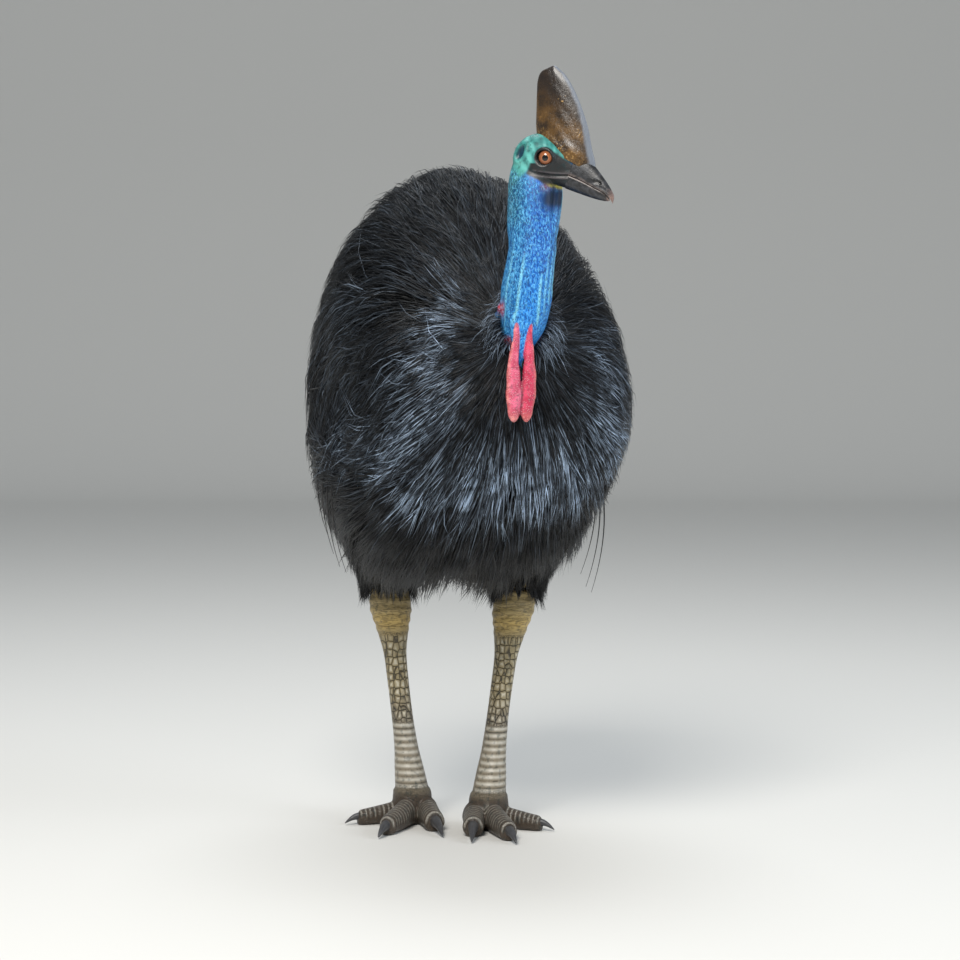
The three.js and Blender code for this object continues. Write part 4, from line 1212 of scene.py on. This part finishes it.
def strands(name, middles, outs, width, shade, chart):
    """Closed three-sided strands along the given middles, each a small patch of the chart at its root."""
    count, rings = middles.shape[:2]
    way = np.gradient(middles, axis=1)
    across = unit(np.cross(way, outs))
    up = unit(np.cross(across, way))[:, :-1]
    across, body = across[:, :-1], middles[:, :-1]
    thick = np.array(TAPER)[None, :, None] * (width / 2)[:, None, None]
    corners = np.stack([body - across * thick, body + across * thick, body + up * thick * 0.8], 2)
    points = np.concatenate([corners.reshape(count, -1, 3), middles[:, -1:]], 1)
    per = points.shape[1]
    sides = ((0, 1), (1, 2), (2, 0))
    walls = [(3 * r + a, 3 * r + b, 3 * r + 3 + b, 3 * r + 3 + a) for r in range(rings - 2) for a, b in sides]
    tip, last = per - 1, per - 4
    faces = walls + [(last + a, last + b, tip) for a, b in sides] + [(2, 1, 0)]
    loops = np.concatenate([np.array(face) for face in faces])
    totals = np.tile([len(face) for face in faces], count)
    mesh = bpy.data.meshes.new(name)
    mesh.vertices.add(count * per)
    mesh.vertices.foreach_set("co", points.astype(np.float32).ravel())
    mesh.loops.add(count * len(loops))
    corner_points = (np.arange(count) * per)[:, None] + loops
    mesh.loops.foreach_set("vertex_index", corner_points.ravel().astype(np.int32))
    mesh.polygons.add(len(totals))
    mesh.polygons.foreach_set("loop_start", np.concatenate([[0], np.cumsum(totals)[:-1]]).astype(np.int32))
    mesh.update(calc_edges=True)
    spot = np.stack([np.resize([-PATCH, PATCH, 0], per), np.linspace(-PATCH, PATCH, per)], -1)
    uv = chart[:, None, :] + spot[loops][None]
    mesh.uv_layers.new(name="OFBake").data.foreach_set("uv", uv.astype(np.float32).ravel())
    # Each strand is painted darker towards its root, as painted shade deep in the coat, and brighter towards
    # its tip, as painted highlight.
    root_shade_tip_light = np.repeat(np.linspace(0.55, 1.25, rings), 3)[:per]
    tint = np.concatenate([shade[:, None, :] * root_shade_tip_light[None, :, None], np.ones((count, per, 1))], 2)
    painted = mesh.color_attributes.new("feather_colour", "FLOAT_COLOR", "POINT")
    painted.data.foreach_set("color", tint.astype(np.float32).ravel())
    piece = bpy.data.objects.new(name, mesh)
    bpy.context.scene.collection.objects.link(piece)
    settle(piece, feather, "plumage")


feather, shader, place = new_material("feather", Roughness=0.4, Specular_IOR_Level=0.36)
sooty = place.noise(40, 4).within(0.42, 0.68)
connect(shader, Base_Color=place.carried("feather_colour").toward((0.002, 0.002, 0.003, 1), sooty * 0.75))

# Where painted slate-blue sheen lies on the plumage: place along the trunk, turn in degrees, their spreads,
# and strength.
SHEEN_PATCHES = [
    [0.045, 148, 0.03, 24, 1.0],
    [0.065, -176, 0.035, 20, 1.1],
    [0.1, -143, 0.05, 18, 1.1],
    [0.19, -134, 0.06, 26, 1.2],
    [0.16, -88, 0.06, 34, 1.4],
    [0.14, -45, 0.07, 24, 1.1],
    [0.1, 0, 0.06, 24, 0.7],
    [0.32, -168, 0.1, 18, 0.6],
    [0.28, 165, 0.14, 24, 0.3],
]


def plumage_shades(t, turn):
    """Mostly black, with painted slate-blue sheen over the shoulders and breast and brown-black under the
    belly.
    """
    shine = 0.09 + 0 * t
    for at, at_turn, long, wide, strength in SHEEN_PATCHES:
        shine = np.maximum(shine, strength * bell(t - at, long) * bell(apart(turn, at_turn), wide))
    low = smooth(0.3, 0.9, -np.sin(turn)) * smooth(0.24, 0.42, t)
    black, slate, brown = linear(5, 5, 6), linear(176, 196, 220), linear(15, 13, 11)
    # Painted highlight: a share of the strands is painted as lit slate-blue lines, more of them where the
    # sheen lies.
    lit = draw.random(len(t)) < 0.3 + 0.25 * shine
    streak = np.where(lit, draw.uniform(0.5, 1.25, len(t)), draw.uniform(0, 0.14, len(t)))
    share = np.clip(shine * streak, 0, 1)[:, None]
    shade = black + (slate - black) * share
    shade = shade + (brown - shade) * (0.75 * low[:, None])
    return shade * np.clip(draw.normal(1.0, 0.3, len(t)), 0.4, 2.2)[:, None]


# Each coat piece: place along the trunk from and to, turn from and to in degrees, feathers, length, width.
TRUNK_COATS = {
    "plumage_collar": (-0.01, 0.1, -180, 180, 6600, 96, 1.7),
    "plumage_mantle": (0.08, 0.34, 10, 170, 6600, 175, 2.1),
    "plumage_breast_right": (0.08, 0.34, 170, 270, 6600, 165, 2.1),
    "plumage_breast_left": (0.08, 0.34, -90, 10, 6600, 165, 2.1),
    "plumage_back": (0.3, 0.62, 10, 170, 6600, 205, 2.8),
    "plumage_flank_right": (0.3, 0.68, 170, 270, 6600, 205, 2.7),
    "plumage_flank_left": (0.3, 0.68, -90, 10, 6600, 205, 2.7),
    "plumage_rump": (0.58, 0.95, -180, 180, 8600, 190, 3.0),
}
for name, (t_from, t_to, turn_from, turn_to, count, length, width) in TRUNK_COATS.items():
    tufts = count // TUFT
    t = t_from + (t_to - t_from) * draw.random(tufts)
    turn = np.radians(turn_from + (turn_to - turn_from) * draw.random(tufts))
    lengths = length * np.clip(draw.normal(1, 0.18, tufts), 0.5, 1.5) * (0.75 + 0.25 * smooth(0, 0.3, t))
    lengths *= 1 - 0.4 * smooth(0.8, 1.0, t)
    under = smooth(0.1, 0.8, -np.sin(turn)) * smooth(0.25, 0.4, t)
    lift = draw.uniform(-14, 6 + 5 * under, tufts)
    middles, outs = feather_path(t, turn, lengths, lift, spread=9 * smooth(-0.05, 0.2, t) + 3)
    t, turn = np.repeat(t, TUFT), np.repeat(turn, TUFT)
    chart = chart_at(turn, 0.04 + 0.92 * t)
    chart = chart + draw.normal(0, 0.006, chart.shape)
    widths = width * np.clip(draw.normal(1, 0.28, len(t)), 0.5, 1.8)
    strands(name, middles, outs, widths, plumage_shades(t, turn), chart)

# Feathers of the tail end
# The bird has no tail. Long feathers grow out of the rump's end and fall straight down over it, and they hide
# where the skin of the trunk closes.

tufts = 3000 // TUFT
turn = draw.uniform(-pi, pi, tufts)
share = np.sqrt(draw.random(tufts))[:, None] * 1.05
rim = trunk_point(np.full(tufts, 0.99), turn, 52)
middle = rim.mean(axis=0)
roots = middle + (rim - middle) * share - (0, 4, 0)
out = unit(np.array([0, 1.0, 0.1]) + (rim - middle) / 90 * share * 0.45)
length = np.minimum(draw.uniform(110, 200, tufts), roots[:, 2] - 560 + draw.normal(0, 14, tufts))[:, None]
sway = draw.normal(0, 0.12, (tufts, 3)) * (1, 0.3, 0.2)
single = np.repeat(np.arange(tufts), TUFT)
spread = draw.normal(0, 9, (len(single), 3))
reach = length[single] * draw.uniform(0.75, 1.1, (len(single), 1))
steps = np.linspace(0, 1, FEATHER_STEPS + 1)
middles = []
for s in steps:
    fall = np.array([0, 0, -1.0]) * s**1.25 + sway[single] * s * s
    gone = out[single] * (0.42 * s - 0.2 * s * s) + fall
    middles.append(roots[single] + spread * (1 - 0.8 * s) + reach * gone)
middles = np.stack(middles, 1)
chart = chart_at(turn[single], 0.995 - 0.03 * share[single, 0])
shade = plumage_shades(0.9 + 0 * single, pi / 2 + 0 * single)
outs = np.array([0, 1.0, 0]) + 0 * middles
strands("plumage_tail", middles, outs, draw.uniform(2.0, 3.6, len(single)), shade, chart)

# Feathers round the neck's root
# Short feathers stand on the bare skin's edge and lie outwards over the collar. They leave the front of the
# neck bare.

count = 2600
t = draw.uniform(0.7, 1.0, count)
bare = radians(34) + radians(82) * (1 - smooth(0.74, 1.0, t))
turn = draw.uniform(-pi, pi, count)
feathered = np.abs(np.radians(apart(turn, -97))) > bare
t, turn = t[feathered], turn[feathered]
roots = neck_skin(turn, t, np.ones(len(t)))
out = unit(roots - neck_skin(turn, t, np.zeros(len(t))))
length = draw.uniform(26, 62, len(t))[:, None] * smooth(0.66, 0.85, t)[:, None]
fall = np.array([0, 0, -1.0]) * draw.uniform(0.35, 0.9, len(t))[:, None] + draw.normal(0, 0.22, out.shape)
gone = [out * (1.1 * s - 0.45 * s * s) + fall * s * s for s in steps]
middles = np.stack([roots - 2 * out + length * way for way in gone], 1)
chart = chart_at(turn, 0.02 + 0.96 * (t - 0.7) / 0.3)
shade = plumage_shades(0.06 + 0 * t, radians(150) + 0 * t) * 0.8
outs = np.array([0, 0, 1.0]) + 0 * middles
strands("plumage_ruff", middles, outs, draw.uniform(1.0, 1.8, len(t)), shade, chart)

# Feathers of the thighs
# Shorter feathers hang down round each thigh and end raggedly over the ankle. They are longest behind.

for name, leg in LEGS.items():
    tufts = 3600 // TUFT
    t = 0.9 * draw.random(tufts) ** 0.8
    turn = 2 * pi * draw.random(tufts)
    length = 92 * np.clip(draw.normal(1, 0.28, tufts), 0.4, 1.7)
    tall = leg["knee"][2] - leg["ankle"][2] - SHANK_TOP
    behind = 0.5 + 0.5 * np.sin(turn + 0.3)
    lowest = 1.0 + draw.uniform(-0.08, 0.16, tufts) + 0.2 * behind
    length = np.minimum(length, (lowest - t) * tall)
    single = np.repeat(np.arange(tufts), TUFT)
    off_t, off_turn = draw.normal(0, 0.05, len(single)), draw.normal(0, 0.13, len(single))
    flare = draw.uniform(-4, 9, len(single))
    reach = length[single] * draw.uniform(0.75, 1.05, len(single))
    middles, outs = [], []
    for s in steps:
        cling = 1 - 0.8 * s
        place = t[single] + off_t * cling + reach * s / tall
        turned = turn[single] + off_turn * cling
        depth = (read(THIGH_DEPTH, t[single])[0] + 2) * (1 - s) ** 1.6 - flare * s * s
        held = np.clip(place, 0, 1)
        point = thigh_point(leg, held, turned, depth)
        point[:, 2] -= (place - held) * tall
        middles.append(point)
        outs.append(thigh_point(leg, held, turned, depth - 4) - thigh_point(leg, held, turned, depth))
    shade = plumage_shades(0.6 + 0 * reach, -1.2 + 0 * reach)
    chart = chart_at(turn[single], 0.98 - 0.94 * t[single])
    chart = chart + draw.normal(0, 0.006, chart.shape)
    widths = 2.0 * np.clip(draw.normal(1, 0.25, len(single)), 0.5, 1.8)
    strands(f"plumage_thigh_{name}", np.stack(middles, 1), np.stack(outs, 1), widths, shade, chart)

# Bristles of the head
# Sparse short black hairs stand on the crown, round the ear and along the nape. They root in the bare skin
# and lie backwards.

count = 900
skull_turn = draw.uniform(0, 2 * pi, count)
skull_along = draw.uniform(0.03, 0.62, count)
roots = head_skin(skull_turn, skull_along, np.ones(count))
side, forward, up = to_head(roots)
kept = (up > -44) & (np.hypot(forward, up) > 24)
roots, skull_turn, skull_along = roots[kept], skull_turn[kept], skull_along[kept]
out = unit(roots - from_head(0, -12, -12))
back = from_head(0, -1, -0.35) - HEAD_MIDDLE
lie = unit(back - out * (out @ back)[:, None]) + draw.normal(0, 0.3, out.shape)
length = draw.uniform(2, 6, len(roots))[:, None]
middles = np.stack([roots - out + (lie * s + out * (0.32 * s)) * length for s in steps], 1)
outs = out[:, None] + 0 * middles
chart = chart_at(skull_turn, 0.02 + 0.96 * skull_along)
shade = np.tile(linear(14, 15, 17), (len(roots), 1))
strands("head_bristles", middles, outs, np.full(len(roots), 0.4), shade, chart)

# Floor and lights
# A plain pale paper floor that curves up behind, under a large soft key light, a fill and a light from above.
# It is made in metres.

# The floor's half width, its front edge, where it starts to rise, and how far the curve goes back and up.
FLOOR = {"half": 9, "front": -7, "back": 7, "curve": 2.5, "high": 6}
FLAT_SHARE = 0.55

backdrop = bmesh.new()
bmesh.ops.create_grid(backdrop, x_segments=2, y_segments=60, size=1)
for v in backdrop.verts:
    run = (v.co.y + 1) / 2
    flat = min(run, FLAT_SHARE) / FLAT_SHARE
    bend = max(0.0, run - FLAT_SHARE) / (1 - FLAT_SHARE) * pi / 2
    y = FLOOR["front"] + (FLOOR["back"] - FLOOR["front"]) * flat + FLOOR["curve"] * sin(bend)
    v.co = Vector((FLOOR["half"] * v.co.x, y, FLOOR["high"] * (1 - cos(bend))))
mesh = bpy.data.meshes.new("floor")
backdrop.to_mesh(mesh)
backdrop.free()
floor = bpy.data.objects.new("floor", mesh)
floor.data.transform(Matrix.Rotation(atan2(-AHEAD.x, AHEAD.y), 4, "Z"))
bpy.context.scene.collection.objects.link(floor)
paper, _, _ = new_material("paper", Roughness=0.9, Base_Color=(0.7, 0.69, 0.66, 1))
floor.data.materials.append(paper)
floor.data.shade_smooth()
floor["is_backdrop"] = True
bpy.context.scene.view_settings.view_transform = "Standard"

world = bpy.data.worlds.new("studio")
world.use_nodes = True
sky = world.node_tree.nodes["Background"].inputs
sky["Color"].default_value = (0.86, 0.93, 1.0, 1)
sky["Strength"].default_value = 0.33
bpy.context.scene.world = world

LIGHTS = {
    "key": {"at": (-2.2, -3.4, 4.4), "size": 2.2, "watts": 300, "shade": (1.0, 0.97, 0.92)},
    "fill": {"at": (3.6, -3.0, 2.4), "size": 3.0, "watts": 85, "shade": (0.85, 0.92, 1.0)},
    "top": {"at": (0.4, 1.6, 4.6), "size": 2.4, "watts": 95, "shade": (0.92, 0.96, 1.0)},
}
for name, light in LIGHTS.items():
    lamp = bpy.data.lights.new(name, "AREA")
    lamp.size, lamp.energy, lamp.color = light["size"], light["watts"], light["shade"]
    holder = bpy.data.objects.new(name, lamp)
    holder.location = light["at"]
    aim = Vector((0, 0, 0.8)) - holder.location
    holder.rotation_euler = aim.to_track_quat("-Z", "Y").to_euler()
    bpy.context.scene.collection.objects.link(holder)

low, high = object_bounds()
